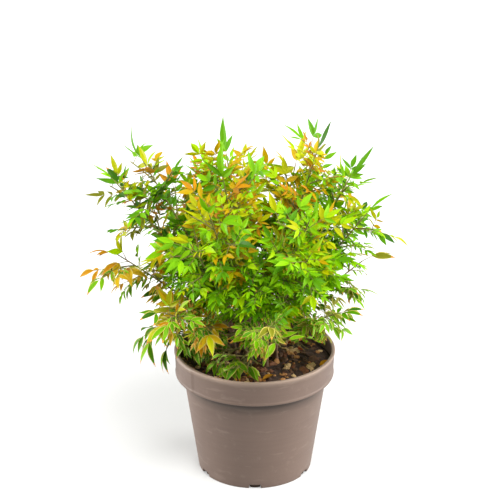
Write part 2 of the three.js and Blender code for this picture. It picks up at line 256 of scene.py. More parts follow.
def make_floor():
    mesh = bpy.data.meshes.new("floor")
    half = FLOOR.half
    corners = [(-half, -half, 0), (half, -half, 0), (half, half, 0), (-half, half, 0)]
    mesh.from_pydata(corners, [], [(0, 1, 2, 3)])
    glow = {"Emission Color": (1, 1, 1, 1), "Emission Strength": FLOOR.glow}
    paper = Finish("pale floor", {"Roughness": 0.9, **glow})
    paper.colour(linear(*FLOOR.tint))
    mesh.materials.append(paper.material)
    holder_of(mesh)


make_floor()
print("floor:", 2 * FLOOR.half, "m square")

# %% [markdown]
# ## From numbers to pieces
#
# Most pieces here are meshes that we fill from arrays. Each finished piece sits at the origin with its
# place in its mesh, rides on the one body that the plant has, and hides the solids that it stands for.

# %% Tools for pieces


def piece_from(mesh, nodes, smooth=True):
    """Puts a finished mesh in the scene as a piece of the plant, in place of these solids."""
    if smooth:
        mesh.shade_smooth()
    piece = holder_of(mesh)
    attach(piece, "root")
    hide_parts(*nodes)
    triangles = sum(len(face.vertices) - 2 for face in mesh.polygons)
    print(f"{mesh.name}: {triangles} triangles, for {len(nodes)} solids")


def mesh_of(name, points, faces, materials=()):
    """A mesh from points in metres."""
    mesh = bpy.data.meshes.new(name)
    mesh.from_pydata(np.asarray(points).tolist(), [], faces)
    for material in materials:
        mesh.materials.append(material)
    mesh.update()
    return mesh


def note(mesh, name, kind, domain, values):
    """Notes one value for each face, edge or point of a mesh, for a rule to read."""
    field = "vector" if kind == "FLOAT_VECTOR" else "value"
    mesh.attributes.new(name, kind, domain).data.foreach_set(field, np.ravel(values).tolist())


def baked(holder, name):
    """The plain mesh that an object's modifiers make of it. The object is then thrown away."""
    evaluated = holder.evaluated_get(bpy.context.evaluated_depsgraph_get())
    mesh = bpy.data.meshes.new_from_object(evaluated)
    mesh.name = name
    bpy.data.objects.remove(holder)
    return mesh


# %% Tools for rings of points


def circle(sides):
    """The cosine and sine of even steps round a circle."""
    turns = [2 * math.pi * k / sides for k in range(sides)]
    return [(math.cos(turn), math.sin(turn)) for turn in turns]


def ring_faces(rings, sides, first=0):
    """Faces between rings of points, each with this many sides, outward for rings that climb."""
    faces = []
    for ring in range(rings - 1):
        for k in range(sides):
            a = first + ring * sides + k
            b = first + ring * sides + (k + 1) % sides
            faces.append((a, b, b + sides, a + sides))
    return faces


def tube_faces(rings, sides, first=0):
    """Faces of a closed tube: its wall and one face over each end."""
    last = first + (rings - 1) * sides
    ends = [[first + k for k in range(sides)][::-1], [last + k for k in range(sides)]]
    return ring_faces(rings, sides, first) + ends


def fan_faces(tip, first, sides):
    """Triangles between one point and a ring of points. They look up if the point is above the ring."""
    return [(tip, first + k, first + (k + 1) % sides) for k in range(sides)]


def drum_faces(rings, sides):
    """Faces of rings of points that a point at either end closes. The two ends come last."""
    bottom, top = rings * sides, rings * sides + 1
    under = [face[::-1] for face in fan_faces(bottom, 0, sides)]
    return ring_faces(rings, sides) + under + fan_faces(top, (rings - 1) * sides, sides)


print("faces of a box as a tube:", len(tube_faces(2, 4)))

# %% [markdown]
# ## The pot
#
# A nursery pot is blown or moulded from thin matte plastic: a tapered body, a broad collar with a rounded
# lip, a smooth stretch of collar that stands a little proud, and drain slots round its foot. It is round,
# so its wall is one closed profile turned about the axis. Each corner of the profile is rounded by an arc.
# The raised stretch is the same wall pushed outwards between two angles, and the slots are cut by one
# Boolean modifier, because they pass through wall and floor.

# %% Pot sizes
POT = Bundle(
    height=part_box("pot")[1].z, rim=0.118, foot=0.084, neck=0.106, collar=0.038, collar_foot=0.1165,
    wall=0.0024, base=0.003, lip=0.0055, lip_depth=0.0035,
)
# The outside's small steps, each as how far it goes in or out and how high it is.
HEEL = (0.0016, 0.011)  # the wall's bulge over its foot
TUCK = (0.0004, 0.004)  # the wall draws in just under the collar
ROLL = (0.0001, 0.003)  # the collar's lower edge
GROOVE = (0.0007, 0.0048)  # a shallow line over that edge
BAND = (0.0011, 0.0065, 0.0045)  # a raised band under the rim: how proud, and its two ends below the top
GRIP = Bundle(first=167, last=220, proud=0.0011, inset=0.002, edge=1.4)
DRAIN = Bundle(count=6, width=0.019, top_width=0.016, height=0.0065, depth=0.011, over=0.01)
NECK_Z = POT.height - POT.collar
POT_SIDES = 180


def inner_radius(z):
    """The pot's inner radius at a height."""
    if z <= NECK_Z:
        outer = POT.foot + (POT.neck - POT.foot) * z / NECK_Z
    else:
        share = (z - NECK_Z) / POT.collar
        outer = POT.collar_foot + (POT.rim - POT.collar_foot) * share
    return outer - POT.wall


print("pot:", round(2 * POT.rim / MM), "mm across,", round(POT.height / MM), "mm high")

# %% Pot profile


def rounded(corners, steps=4):
    """A profile of (radius, z, rounding) corners, each turned into an arc of points."""
    points = []
    for i, (radius, z, rounding) in enumerate(corners):
        here = Vector((radius, z))
        if rounding == 0:
            points.append(here)
            continue
        before = Vector(corners[i - 1][:2]) - here
        after = Vector(corners[(i + 1) % len(corners)][:2]) - here
        start = here + before.normalized() * min(rounding, before.length / 2)
        end = here + after.normalized() * min(rounding, after.length / 2)
        for step in range(steps + 1):
            t = step / steps
            points.append(start.lerp(here, t).lerp(here.lerp(end, t), t))
    return points


def pot_profile():
    """From the middle of the underside, up the outside, over the lip and down to the middle of the floor."""
    foot, neck, rim = POT.foot, POT.neck, POT.rim
    collar, height, wall = POT.collar_foot, POT.height, POT.wall
    lip, ledge = rim - POT.lip, height - POT.lip_depth
    corners = [
        (0, 0, 0),
        (foot, 0, 0.0012),
        (foot + HEEL[0], HEEL[1], 0.004),
        (neck - TUCK[0], NECK_Z - TUCK[1], 0.003),
        (neck + 0.001, NECK_Z, 0.001),
        (collar, NECK_Z, 0.0011),
        (collar + ROLL[0], NECK_Z + ROLL[1], 0.001),
        (collar - GROOVE[0], NECK_Z + GROOVE[1], 0.001),
        (rim - BAND[0], height - BAND[1], 0.002),
        (rim, height - BAND[2], 0.001),
        (rim, height, 0.0022),
        (lip, height, 0.0018),
        (lip, ledge, 0.0008),
        (rim - wall, ledge - wall, 0.001),
        (collar - wall, NECK_Z + wall, 0.002),
        (neck - wall, NECK_Z - wall, 0.002),
        (inner_radius(POT.base), POT.base, 0.002),
        (0, POT.base, 0),
    ]
    return rounded(corners)


print("points in the profile:", len(pot_profile()))

# %% Pot mesh


def pot_angles():
    """Even steps round the pot, with narrow ones at both edges of the raised stretch."""
    angles = {round(360 * k / POT_SIDES, 4) for k in range(POT_SIDES)}
    for edge in (GRIP.first, GRIP.last):
        angles |= {edge - GRIP.edge, edge + GRIP.edge, float(edge)}
    return sorted(angles)


# Only points of the collar's outside move. They are told by their place, give or take these lengths.
SLACK = Bundle(across=0.002, level=0.0001, wall=0.001)


def raised(angle, point):
    """How far the collar stands proud there: all the way between the raised stretch's two edges."""
    on_collar = point.x > POT.collar_foot - SLACK.across and NECK_Z - SLACK.level < point.y
    inside = GRIP.first < angle < GRIP.last and point.y < POT.height - GRIP.inset
    outer = point.x > inner_radius(max(point.y, NECK_Z)) + SLACK.wall
    return GRIP.proud if on_collar and inside and outer else 0.0


def slot_turns():
    """The turns that carry a slot from +X to each place round the pot. The first faces the front."""
    steps = [2 * math.pi * i / DRAIN.count - math.pi / 2 for i in range(DRAIN.count)]
    return [Quaternion((0, 0, 1), step) for step in steps]


def drain_cutter():
    """Wedge-topped blocks, one for each slot."""
    half, top = DRAIN.width / 2, DRAIN.top_width / 2
    inner, outer = POT.foot - DRAIN.depth, POT.foot + DRAIN.over
    outline = [(-half, -0.001), (half, -0.001), (top, DRAIN.height), (-top, DRAIN.height)]
    points, faces = [], []
    for turn in slot_turns():
        faces += tube_faces(2, len(outline), len(points))
        for reach in (inner, outer):
            points += [turn @ Vector((reach, across, z)) for across, z in outline]
    return mesh_of("drain cutter", points, faces)


def pot_mesh(material):
    profile, angles = pot_profile(), pot_angles()
    points = []
    for point in profile[1:-1]:
        for angle in angles:
            radius = point.x + raised(angle, point)
            turn = math.radians(angle)
            points.append((radius * math.cos(turn), radius * math.sin(turn), point.y))
    points += [(0, 0, profile[0].y), (0, 0, profile[-1].y)]
    faces = drum_faces(len(profile) - 2, len(angles))
    pot = holder_of(mesh_of("pot without slots", points, faces, [material]))
    cutter = holder_of(drain_cutter())
    cut = pot.modifiers.new("drain slots", "BOOLEAN")
    cut.operation = "DIFFERENCE"
    cut.solver = "EXACT"
    cut.object = cutter
    mesh = baked(pot, "nursery_pot")
    bpy.data.objects.remove(cutter)
    return mesh


print("steps round the pot:", len(pot_angles()))

# %% [markdown]
# ## The pot's plastic
#
# Matte taupe plastic is never one flat colour. It has a broad cloudiness from moulding, a fine grain that
# breaks up the shine, very faint level rings, a paler worn lip and a bloom of dried-on water splashes. Just
# under the collar the wall is painted darker: painted shade, where the collar's shadow falls. Each of these
# is a mask worked out from the place on the pot, and they shift colour, roughness and relief.

# %% Pot plastic
# Painted shade: how much the wall is darkened at shares of the pot's height, most of all just under the
# collar, where its shadow falls.
COLLAR_SHADE = [(0.68, 0), (0.735, 0.4), (0.765, 1), (0.8005, 1), (0.803, 0)]
WORN = {1: POT.height - 0.009, 2: POT.height - 0.001}  # the lip wears from the first height to the next


def pot_plastic():
    finish = Finish("taupe plastic", {"Specular IOR Level": 0.35})
    place = finish.place()
    broad = finish.clouds(place, 9, detail=4)
    rings = finish.clouds(finish.stretched(place, (2, 2, 170)), 1, detail=2)
    grain = finish.clouds(place, 1100, detail=2)
    splash = finish.ramp(finish.clouds(place, 60, detail=5, roughness=0.7), (0.56, 0), (0.72, 1))
    height = finish.add("ShaderNodeSeparateXYZ", None, {0: place}, output=2)
    lip = finish.add("ShaderNodeMapRange", None, {0: height, **WORN})
    streaks = finish.clouds(finish.stretched(place, (24, 24, 110)), 1, detail=4)
    scuff = finish.ramp(streaks, (0.6, 0), (0.68, 1))
    # Painted shade under the collar: a darker band where the collar's shadow falls.
    collar_shade = finish.ramp(height * (1 / POT.height), *COLLAR_SHADE)
    layers = [
        (rings, 0.22, (124, 106, 94)),
        (scuff, 0.12, (150, 134, 121)),
        (splash, 0.14, (150, 135, 123)),
        # painted shade under the collar
        (collar_shade, 0.8, (34, 27, 23)),
        (lip, 0.55, (148, 128, 112)),
    ]
    finish.colour(finish.coats(finish.blend(broad, linear(82, 66, 58), linear(104, 86, 76)), layers))
    finish.roughness(0.5 + 0.16 * broad + 0.1 * splash)
    finish.relief(grain * 0.35 + rings * 0.5 + broad * 0.6, distance=0.0004, strength=0.7)
    return finish.material


piece_from(pot_mesh(pot_plastic()), ["pot"])

# %% [markdown]
# ## The potting mix
#
# The pot is filled with dark composted bark. Its top is an uneven mound, with chips, crumbs and a few dry
# leaflets on it. The mound is a turned surface, roughened by noise. Geometry Nodes scatter the chips: points
# are dealt over the mound, and an odd lump of bark is set on each, turned and sized by chance.

# %% Mound of potting mix
mix_low, mix_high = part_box("potting_mix")
MIX_TOP = mix_high.z
MIX_EDGE = 0.166
# The mound is flat as far as "flat" and then falls to the wall. Its lumps are noise, most of them hollows.
MOUND = Bundle(rings=26, sides=96, flat=0.048, lump=0.0022, lump_size=0.011, hollow=0.4)
MIX_CLEAR = 0.0006  # from the pot's wall


def mound_height(x, y):
    """The top of the mix there."""
    beyond = (math.hypot(x, y) - MOUND.flat) / (inner_radius(MIX_EDGE) - MOUND.flat)
    fall = min(1.0, max(0.0, beyond))
    lumps = noise.fractal(Vector((x, y, 0)) / MOUND.lump_size, 1.0, 2.0, 3)
    return MIX_TOP + (MIX_EDGE - MIX_TOP) * fall + MOUND.lump * (lumps - MOUND.hollow)


def mound_rings(edge, reach=1):
    """Rings of points on the mound's top, from its edge this share of the way to the middle."""
    radii = [edge * (1 - reach * ring / MOUND.rings) for ring in range(MOUND.rings)]
    spots = [(radius * east, radius * north) for radius in radii for east, north in circle(MOUND.sides)]
    return [(x, y, mound_height(x, y)) for x, y in spots]


def mound_mesh(material):
    """Closed: up the wall of the pot from its floor, then over the mound to the middle."""
    sides, floor = MOUND.sides, mix_low.z
    points = []
    for z in (floor, NECK_Z - 0.003):
        radius = inner_radius(z) - MIX_CLEAR
        points += [(radius * east, radius * north, z) for east, north in circle(sides)]
    points += mound_rings(inner_radius(MIX_EDGE) - MIX_CLEAR)
    points += [(0, 0, floor), (0, 0, mound_height(0, 0))]
    return mesh_of("potting_mix_mound", points, drum_faces(MOUND.rings + 2, sides), [material])


def damp_compost():
    finish = Finish("damp compost", {"Roughness": 0.92})
    place = finish.place()
    crumbs = finish.clouds(place, 260, detail=5, roughness=0.65)
    patches = finish.clouds(place, 45, detail=3)
    dark = finish.blend(crumbs, linear(26, 17, 12), linear(78, 54, 38))
    finish.colour(finish.coats(dark, [(patches, 0.5, (50, 36, 26))]))
    finish.relief(crumbs, distance=0.002)
    return finish.material


COMPOST = damp_compost()
piece_from(mound_mesh(COMPOST), ["potting_mix"])

# %% [markdown]
# ## Dark compost in the drain slots, as painted shade
#
# Each slot gets a low dark lump of compost, which stands in for the shade inside the slot: painted shade.
# It is rings of points that narrow as they rise, pushed in and out by noise. Without it the glowing floor
# would show bright through the slots.

# %% Dark compost in the drain slots, as painted shade
# Painted shade: a dark lump of compost in each drain slot, where the slot is in shadow.
SHADE_LUMP = Bundle(
    inner=0.074, outer=0.0815, half_width=0.0078, height=0.0052, off_ground=0.0003, bump=0.12, bumps=4,
    apart=3.1, sides=14, rings=5,
)


def slot_shade_lumps(material):
    """One low dark lump in each slot, as painted shade where the slot is in shadow."""
    points, faces = [], []
    centre, half_depth = (SHADE_LUMP.inner + SHADE_LUMP.outer) / 2, (SHADE_LUMP.outer - SHADE_LUMP.inner) / 2
    for i, turn in enumerate(slot_turns()):
        faces += tube_faces(SHADE_LUMP.rings, SHADE_LUMP.sides, len(points))
        for ring in range(SHADE_LUMP.rings):
            rise = math.pi / 2 * ring / SHADE_LUMP.rings
            for east, north in circle(SHADE_LUMP.sides):
                spot = Vector((i * SHADE_LUMP.apart, SHADE_LUMP.bumps * east, SHADE_LUMP.bumps * north + ring))
                bump = 1 + SHADE_LUMP.bump * noise.noise(spot)
                wide = math.cos(rise) ** 0.5 * bump
                point = Vector((centre + half_depth * wide * east, SHADE_LUMP.half_width * wide * north, 0))
                point.z = SHADE_LUMP.off_ground + SHADE_LUMP.height * math.sin(rise) * bump
                points.append(turn @ point)
    return mesh_of("slot_compost", points, faces, [material])


# The lumps are painted shade: dark compost put where the slots are in shadow.
piece_from(slot_shade_lumps(COMPOST), [])

# %% [markdown]
# ## Rules in Geometry Nodes
#
# What repeats, such as chips, leaflets and twigs, is set out by a rule in Geometry Nodes. `Rule` builds one
# node by node. Its sizes are named inputs, set before the rule first runs. `set_out` puts a shape on each
# point, and every rule ends with real faces and a material, because an exported piece can't hold instances.

# %% Tools for Geometry Nodes


class Rule:
    """A Geometry Nodes tree in the making. entry is its input node: the mesh first, then its sizes."""

    def __init__(self, name, **sizes):
        self.tree = bpy.data.node_groups.new(name, "GeometryNodeTree")
        self.sizes = {}
        interface = self.tree.interface
        interface.new_socket("Geometry", in_out="INPUT", socket_type="NodeSocketGeometry")
        for size, value in sizes.items():
            kind = "NodeSocketInt" if isinstance(value, int) else "NodeSocketFloat"
            socket = interface.new_socket(size, in_out="INPUT", socket_type=kind)
            self.sizes[socket.identifier] = value
        interface.new_socket("Geometry", in_out="OUTPUT", socket_type="NodeSocketGeometry")
        self.entry = self.tree.nodes.new("NodeGroupInput")

    def add(self, kind, settings=None, sockets=None, output=0):
        node = self.tree.nodes.new(kind)
        for name, value in (settings or {}).items():
            setattr(node, name, value)
        for name, value in (sockets or {}).items():
            if isinstance(value, bpy.types.NodeSocket):
                self.tree.links.new(value, node.inputs[name])
            else:
                node.inputs[name].default_value = value
        return node.outputs[output]

    def attribute(self, name, kind):
        return self.add("GeometryNodeInputNamedAttribute", {"data_type": kind}, {"Name": name})

    def compare(self, operation, value, number):
        settings = {"data_type": "INT", "operation": operation}
        return self.add("FunctionNodeCompare", settings, {2: value, 3: number})

    def random(self, kind, low, high, seed):
        """A chance value for each point. The node has a pair of sockets for each kind of value."""
        pair = {"FLOAT_VECTOR": 0, "FLOAT": 1, "INT": 2}[kind]
        sockets = {2 * pair: low, 2 * pair + 1: high, "Seed": seed}
        return self.add("FunctionNodeRandomValue", {"data_type": kind}, sockets, output=pair)

    def set_out(self, points, shapes, which, turn, size):
        """One of the shapes on each point, with its number, turn and size from these wires."""
        flags = {"Collection": shapes, "Separate Children": True, "Reset Children": True}
        kinds = self.add("GeometryNodeCollectionInfo", None, flags)
        picked = {"Points": points, "Instance": kinds, "Pick Instance": True, "Instance Index": which}
        return self.add("GeometryNodeInstanceOnPoints", None, {**picked, "Rotation": turn, "Scale": size})

    def made_real(self, instances):
        return self.add("GeometryNodeRealizeInstances", None, {0: instances})

    def painted(self, geometry, material, chosen=True):
        """The geometry with a material on the faces that are chosen."""
        sockets = {"Geometry": geometry, "Selection": chosen, "Material": material}
        return self.add("GeometryNodeSetMaterial", None, sockets)

    def end(self, geometry):
        leave = self.tree.nodes.new("NodeGroupOutput")
        self.tree.links.new(geometry, leave.inputs[0])

    def apply(self, mesh, name):
        """The mesh that the rule makes of this one."""
        holder = holder_of(mesh)
        modifier = holder.modifiers.new(self.tree.name, "NODES")
        modifier.node_group = self.tree
        for identifier, value in self.sizes.items():
            modifier[identifier] = value
        return baked(holder, name)


def shapes_of(name, meshes):
    """A collection of shapes for a rule to pick from, by their number."""
    shapes = bpy.data.collections.new(name)
    for mesh in meshes:
        shapes.objects.link(bpy.data.objects.new(mesh.name, mesh))
    return shapes


print("a rule has:", [name for name in vars(Rule) if name[0] != "_"])

# %% Bark chips
CHIP_KINDS = 7
# Half sizes are shares of a chip's length. Width and height start at one number and grow by the other from
# kind to kind.
CHIP = Bundle(
    sides=7, rings=4, size=0.0065, larger=0.0175, tilt=0.5, push=0.5, lumps=1.7, apart=5.3, half_length=0.5,
    half_width=(0.34, 0.04), half_height=(0.16, 0.05),
)


def chip_shape(kind):
    """An odd lump of bark, one metre long: a squashed ball of few faces, its corners moved by noise."""
    (wide, wider), (high, higher) = CHIP.half_width, CHIP.half_height
    flat = Vector((CHIP.half_length, wide + wider * (kind % 3), high + higher * (kind % 4)))
    points = []
    for ring in range(CHIP.rings):
        lift = math.pi * (ring + 0.5) / CHIP.rings
        for east, north in circle(CHIP.sides):
            point = Vector((east * math.sin(lift), north * math.sin(lift), -math.cos(lift)))
            bump = noise.noise(point * CHIP.lumps + Vector((kind * CHIP.apart, 0, 0)))
            push = 1 + CHIP.push * (bump - 0.5)
            points.append(point * flat * push)
    return mesh_of(f"chip {kind}", points, tube_faces(CHIP.rings, CHIP.sides))


CHIP_SHAPES = shapes_of("chip shapes", [chip_shape(kind) for kind in range(CHIP_KINDS)])

# %% Bark finishes
# Bark weathers from near black to orange and tan. Each kind has its dark and its light tint, and how many
# chips in a hundred are darker than it.
BARKS = {
    "dark bark": ((46, 30, 20), (84, 56, 38), 0),
    "red bark": ((84, 48, 26), (134, 84, 48), 24),
    "brown bark": ((66, 44, 30), (112, 78, 52), 44),
    "orange bark": ((150, 96, 48), (196, 142, 84), 66),
    "tan bark": ((170, 132, 84), (214, 182, 130), 82),
}


def chip_finish(name, dark, light):
    finish = Finish(name, {"Roughness": 0.85})
    fibre = finish.clouds(finish.stretched(finish.place(), (1, 1, 0.3)), 420, detail=4, roughness=0.6)
    finish.colour(finish.blend(fibre, linear(*dark), linear(*light)))
    finish.relief(fibre, distance=0.0008)
    return finish.material


print("kinds of bark:", list(BARKS))

# %% Scattering the chips
SCATTER = {"Least gap": 0.0052, "Chips per square metre": 26000.0, "Chance": 11}
BARE_RIM = Bundle(edge=0.007, reach=0.98)  # the mound's top without chips, at the wall and in the middle


def chip_rule(shapes):
    rule = Rule("scatter bark chips", **SCATTER)
    ground, gap, density, seed = rule.entry.outputs[:4]
    sockets = {"Mesh": ground, "Distance Min": gap, "Density Max": density, "Seed": seed}
    spots = rule.add("GeometryNodeDistributePointsOnFaces", {"distribute_method": "POISSON"}, sockets)
    tilt = CHIP.tilt
    turn = rule.random("FLOAT_VECTOR", (-tilt, -tilt, 0.0), (tilt, tilt, 6.28), 3)
    turn = rule.add("FunctionNodeEulerToRotation", None, {0: turn})
    # Squared, so most chips are small.
    size = rule.add("ShaderNodeMath", {"operation": "POWER"}, {0: rule.random("FLOAT", 0.0, 1.0, 5), 1: 2.0})
    sockets = {0: size, 1: CHIP.larger, 2: CHIP.size}
    size = rule.add("ShaderNodeMath", {"operation": "MULTIPLY_ADD"}, sockets)
    chips = rule.set_out(spots, shapes, rule.random("INT", 0, CHIP_KINDS - 1, 7), turn, size)
    sockets = {"Geometry": chips, "Name": "shade", "Value": rule.random("INT", 0, 99, 9)}
    settings = {"data_type": "INT", "domain": "INSTANCE"}
    geometry = rule.made_real(rule.add("GeometryNodeStoreNamedAttribute", settings, sockets))
    for name, (dark, light, darker) in BARKS.items():
        lighter = rule.compare("GREATER_EQUAL", rule.attribute("shade", "INT"), darker)
        geometry = rule.painted(geometry, chip_finish(name, dark, light), lighter)
    rule.end(geometry)
    return rule


def scatter_ground():
    """Only the top of the mound takes chips."""
    points = mound_rings(inner_radius(MIX_EDGE) - BARE_RIM.edge, BARE_RIM.reach)
    return mesh_of("chip ground", points, ring_faces(MOUND.rings, MOUND.sides))


CHIPS = chip_rule(CHIP_SHAPES)
piece_from(CHIPS.apply(scatter_ground(), "bark_chips"), [], smooth=False)

# %% [markdown]
# ## How the shrub grows
#
# The solids were grown by a rule, and the leaves must follow the same one, so it is written again here. Five
# rings of sprays leave the crown's root, from the top down to a skirt that hangs over the pot. Each spray
# has a direction and a reach. `chance` gives a repeatable number for any whole numbers, so a twig always
# gets the same chance, in the solids and here.

# %% Chance and directions
UP = Vector((0, 0, 1))
MASK = 0xFFFFFFFF


def chance(*keys):
    """A repeatable number from 0 to 1 for any whole numbers. The last one is a tag that tells draws apart."""
    h = 0x9E3779B9
    for key in keys:
        h = ((h ^ (key + 0x7F4A7C15)) & MASK) * 0x85EBCA6B & MASK
        h ^= h >> 13
        h = h * 0xC2B2AE35 & MASK
        h ^= h >> 16
    return h / 2**32


def sway(*keys):
    """A repeatable number from -1 to 1."""
    return 2 * chance(*keys) - 1


def direction(azimuth, rise):
    a, e = math.radians(azimuth), math.radians(rise)
    return Vector((math.cos(a) * math.cos(e), math.sin(a) * math.cos(e), math.sin(e)))


def square_to(v, n):
    """The part of v that is square to n, made one long."""
    return (v - n * v.dot(n)).normalized()


def turned(v, axis, angle):
    return Quaternion(axis, angle) @ v


print("first chances:", [round(chance(key), 4) for key in range(3)])

# %% The crown's plan
CROWN_ROOT = Vector((0, 0, 190))
GAP = 0.3
MIX_CENTRE = MIX_TOP / MM

RINGS = [
    Bundle(
        name="top", first=0, fan=360, rise=75, start=0.42, hang=0, fronds=5, turn=137.5,
        reaches=[366, 336, 350],
    ),
    Bundle(
        name="upper", first=0, fan=360, rise=62, start=0.42, hang=0, fronds=5, turn=180,
        reaches=[350, 325, 312, 381, 345, 335],
    ),
    Bundle(
        name="shoulder", first=0, fan=360, rise=53, start=0.38, hang=0.06, fronds=5, turn=180,
        reaches=[315, 300, 312, 385, 330, 310],
    ),
    Bundle(
        name="middle", first=172, fan=360, rise=35, start=0.3, hang=0.18, fronds=4, turn=180,
        reaches=[298, 262, 255, 218, 255, 262, 280],
    ),
    Bundle(
        name="skirt", first=86, fan=225, rise=12, start=0.4, hang=0.5, fronds=3, turn=180,
        reaches=[172, 170, 205, 126, 124],
    ),
]
HANG_LEAN = 0.2
WOBBLE = Bundle(azimuth=3, rise=1.5)  # degrees to either side
SIDE_FROM = 0.7  # a spray is of the left or the right if it points this much that way


def crown_plan():
    plan = []
    for r, ring in enumerate(RINGS):
        for i, reach in enumerate(ring.reaches):
            azimuth = ring.first + ring.fan * i / len(ring.reaches)
            azimuth += WOBBLE.azimuth * sway(r, i, 1)
            mass = Bundle(name=f"{ring.name}_{i + 1}", key=100 * r + i, ring=ring, reach=reach)
            mass.tier = ring.name
            mass.azimuth = azimuth
            mass.way = direction(azimuth, ring.rise + WOBBLE.rise * sway(r, i, 2))
            across = math.cos(math.radians(azimuth))
            mass.side = "left" if across < -SIDE_FROM else "right" if across > SIDE_FROM else "middle"
            mass.hang = ring.hang * (1 - HANG_LEAN * across)
            mass.start = CROWN_ROOT + mass.way * ring.start * reach
            plan.append(mass)
    return plan


PLAN = crown_plan()
print("sprays planned:", len(PLAN), "first way", [round(c, 4) for c in PLAN[0].way])

# %% Lines of growth
DOTS = 65
NEARBY = 0.004  # shares of a line's length between which its heading is measured


class Path:
    """A smooth line through space, measured by the share of its length."""

    def __init__(self, *handles):
        handles = [Vector(handle) for handle in handles]
        if len(handles) == 3:
            start, elbow, end = handles
            handles = [start, start.lerp(elbow, 2 / 3), end.lerp(elbow, 2 / 3), end]
        self.dots = interpolate_bezier(*handles, DOTS)
        steps = [(b - a).length for a, b in zip(self.dots, self.dots[1:])]
        self.lengths = np.concatenate([[0], np.cumsum(steps)])
        self.length = float(self.lengths[-1])

    def at(self, share):
        distance = share * self.length
        i = min(int(np.searchsorted(self.lengths, distance, side="right")) - 1, len(self.dots) - 2)
        span = self.lengths[i + 1] - self.lengths[i]
        return self.dots[i].lerp(self.dots[i + 1], float((distance - self.lengths[i]) / span))

    def heading(self, share):
        return (self.at(min(1, share + NEARBY)) - self.at(max(0, share - NEARBY))).normalized()


print("a quarter of a circle of 10, nearly:", round(Path((10, 0, 0), (10, 10, 0), (0, 10, 0)).length, 2))

# %% Canes and boughs
LIMB_PULL = 0.35
CANE = Bundle(radius=3.4, tip=2.0, flare=1.6, flare_height=9)
CANE_FOOT = {"top": 11, "upper": 30}
BOUGH = Bundle(radius=2.1, tip=1.5)
BOUGH_HEIGHT = {"shoulder": 0.6, "middle": 0.4, "skirt": 0.2}


def cane_radius(share, length):
    flare = max(0, 1 - share * length / CANE.flare_height)
    return CANE.radius + (CANE.tip - CANE.radius) * share + CANE.flare * flare * flare


def bough_radius(share, length):
    return BOUGH.radius + (BOUGH.tip - BOUGH.radius) * share


def limb_path(root, out, mass):
    end = mass.start - mass.way * GAP
    pull = LIMB_PULL * (end - root).length
    return Path(root, root + out * pull, end - mass.way * pull, end)


def cane_path(mass):
    foot = direction(mass.azimuth, 0) * CANE_FOOT[mass.tier]
    foot.z = MIX_CENTRE + GAP
    return limb_path(foot, UP, mass)


def bough_path(mass, canes):
    """A bough leaves the side of the nearest outer cane, square to it, and arches out to its spray."""
    cane = min(canes, key=lambda c: 1 - math.cos(math.radians(c.mass.azimuth - mass.azimuth)))
    share = BOUGH_HEIGHT[mass.tier]
    heart = cane.path.at(share)
    out = square_to(mass.start - heart, cane.path.heading(share))
    return limb_path(heart + out * (cane_radius(share, cane.path.length) + GAP), out, mass)


def limb_of(mass, path, radius):
    return Bundle(mass=mass, path=path, radius=radius)


CANES = [limb_of(mass, cane_path(mass), cane_radius) for mass in PLAN if mass.tier in CANE_FOOT]
OUTER = [cane for cane in CANES if cane.mass.tier == "upper"]
BOUGHS = [limb_of(mass, bough_path(mass, OUTER), bough_radius) for mass in PLAN if mass.tier in BOUGH_HEIGHT]
print("canes:", len(CANES), "boughs:", len(BOUGHS))

# %% [markdown]
# ## Bark
#
# A heavenly bamboo's cane is thin and upright. Its bark is split into shallow lengthwise furrows, and it
# thickens slightly where each leaf once clasped it. So a limb is a tube whose radius we work out point by
# point: the taper, furrows that wander round it, and a low swelling at each joint. The finish adds what is
# finer than that.

# %% Bark relief
# Millimetres, or shares of the limb's radius or of the gap between two joints.
RELIEF = Bundle(
    furrow=0.09, furrows=5, drift=3, drift_size=20, joint=0.16, joint_gap=22.0, joint_width=0.18,
    drift_turn=0.2, joint_shift=0.3, ring_gap=2.2, least_rings=12, sunk=5,
)
FIRST_SIDE = Vector((0.31, 0.87, 0.12))  # where the first furrow starts, before it is made square to the limb
LIMB_SIDES = {"canes": 15, "boughs": 10}


def limb_points(limb, sides):
    """Rings of points round a limb, in metres, with the bark's relief. Also how many rings."""
    path = limb.path
    rings = max(RELIEF.least_rings, int(path.length / RELIEF.ring_gap))
    across = square_to(FIRST_SIDE, path.heading(0))
    points = []
    for ring in range(rings + 1):
        share = ring / rings
        along = share * path.length
        forward = path.heading(share)
        across = square_to(across, forward)
        other = forward.cross(across)
        joint = abs((along / RELIEF.joint_gap + RELIEF.joint_shift * limb.mass.key) % 1 - 0.5) * 2
        swell = 1 + RELIEF.joint * max(0, joint - 1 + RELIEF.joint_width) / RELIEF.joint_width
        for k, (east, north) in enumerate(circle(sides)):
            spot = Vector((limb.mass.key, along / RELIEF.drift_size, k * RELIEF.drift_turn))
            drift = RELIEF.drift * noise.noise(spot)
            furrow = math.cos(RELIEF.furrows * 2 * math.pi * k / sides + drift)
            radius = limb.radius(share, path.length) * swell * (1 + RELIEF.furrow * furrow)
            point = path.at(share) + (across * east + other * north) * radius
            if ring == 0 and limb.radius is cane_radius:
                point.z = MIX_CENTRE + GAP - RELIEF.sunk
            points.append(point * MM)
    return points, rings + 1


def limbs_mesh(name, limbs, material):
    points, faces = [], []
    for limb in limbs:
        more, rings = limb_points(limb, LIMB_SIDES[name])
        faces += tube_faces(rings, LIMB_SIDES[name], len(points))
        points += more
    return mesh_of(name, points, faces, [material])


print("rings on the first cane:", limb_points(CANES[0], LIMB_SIDES["canes"])[1])

# %% Bark finish


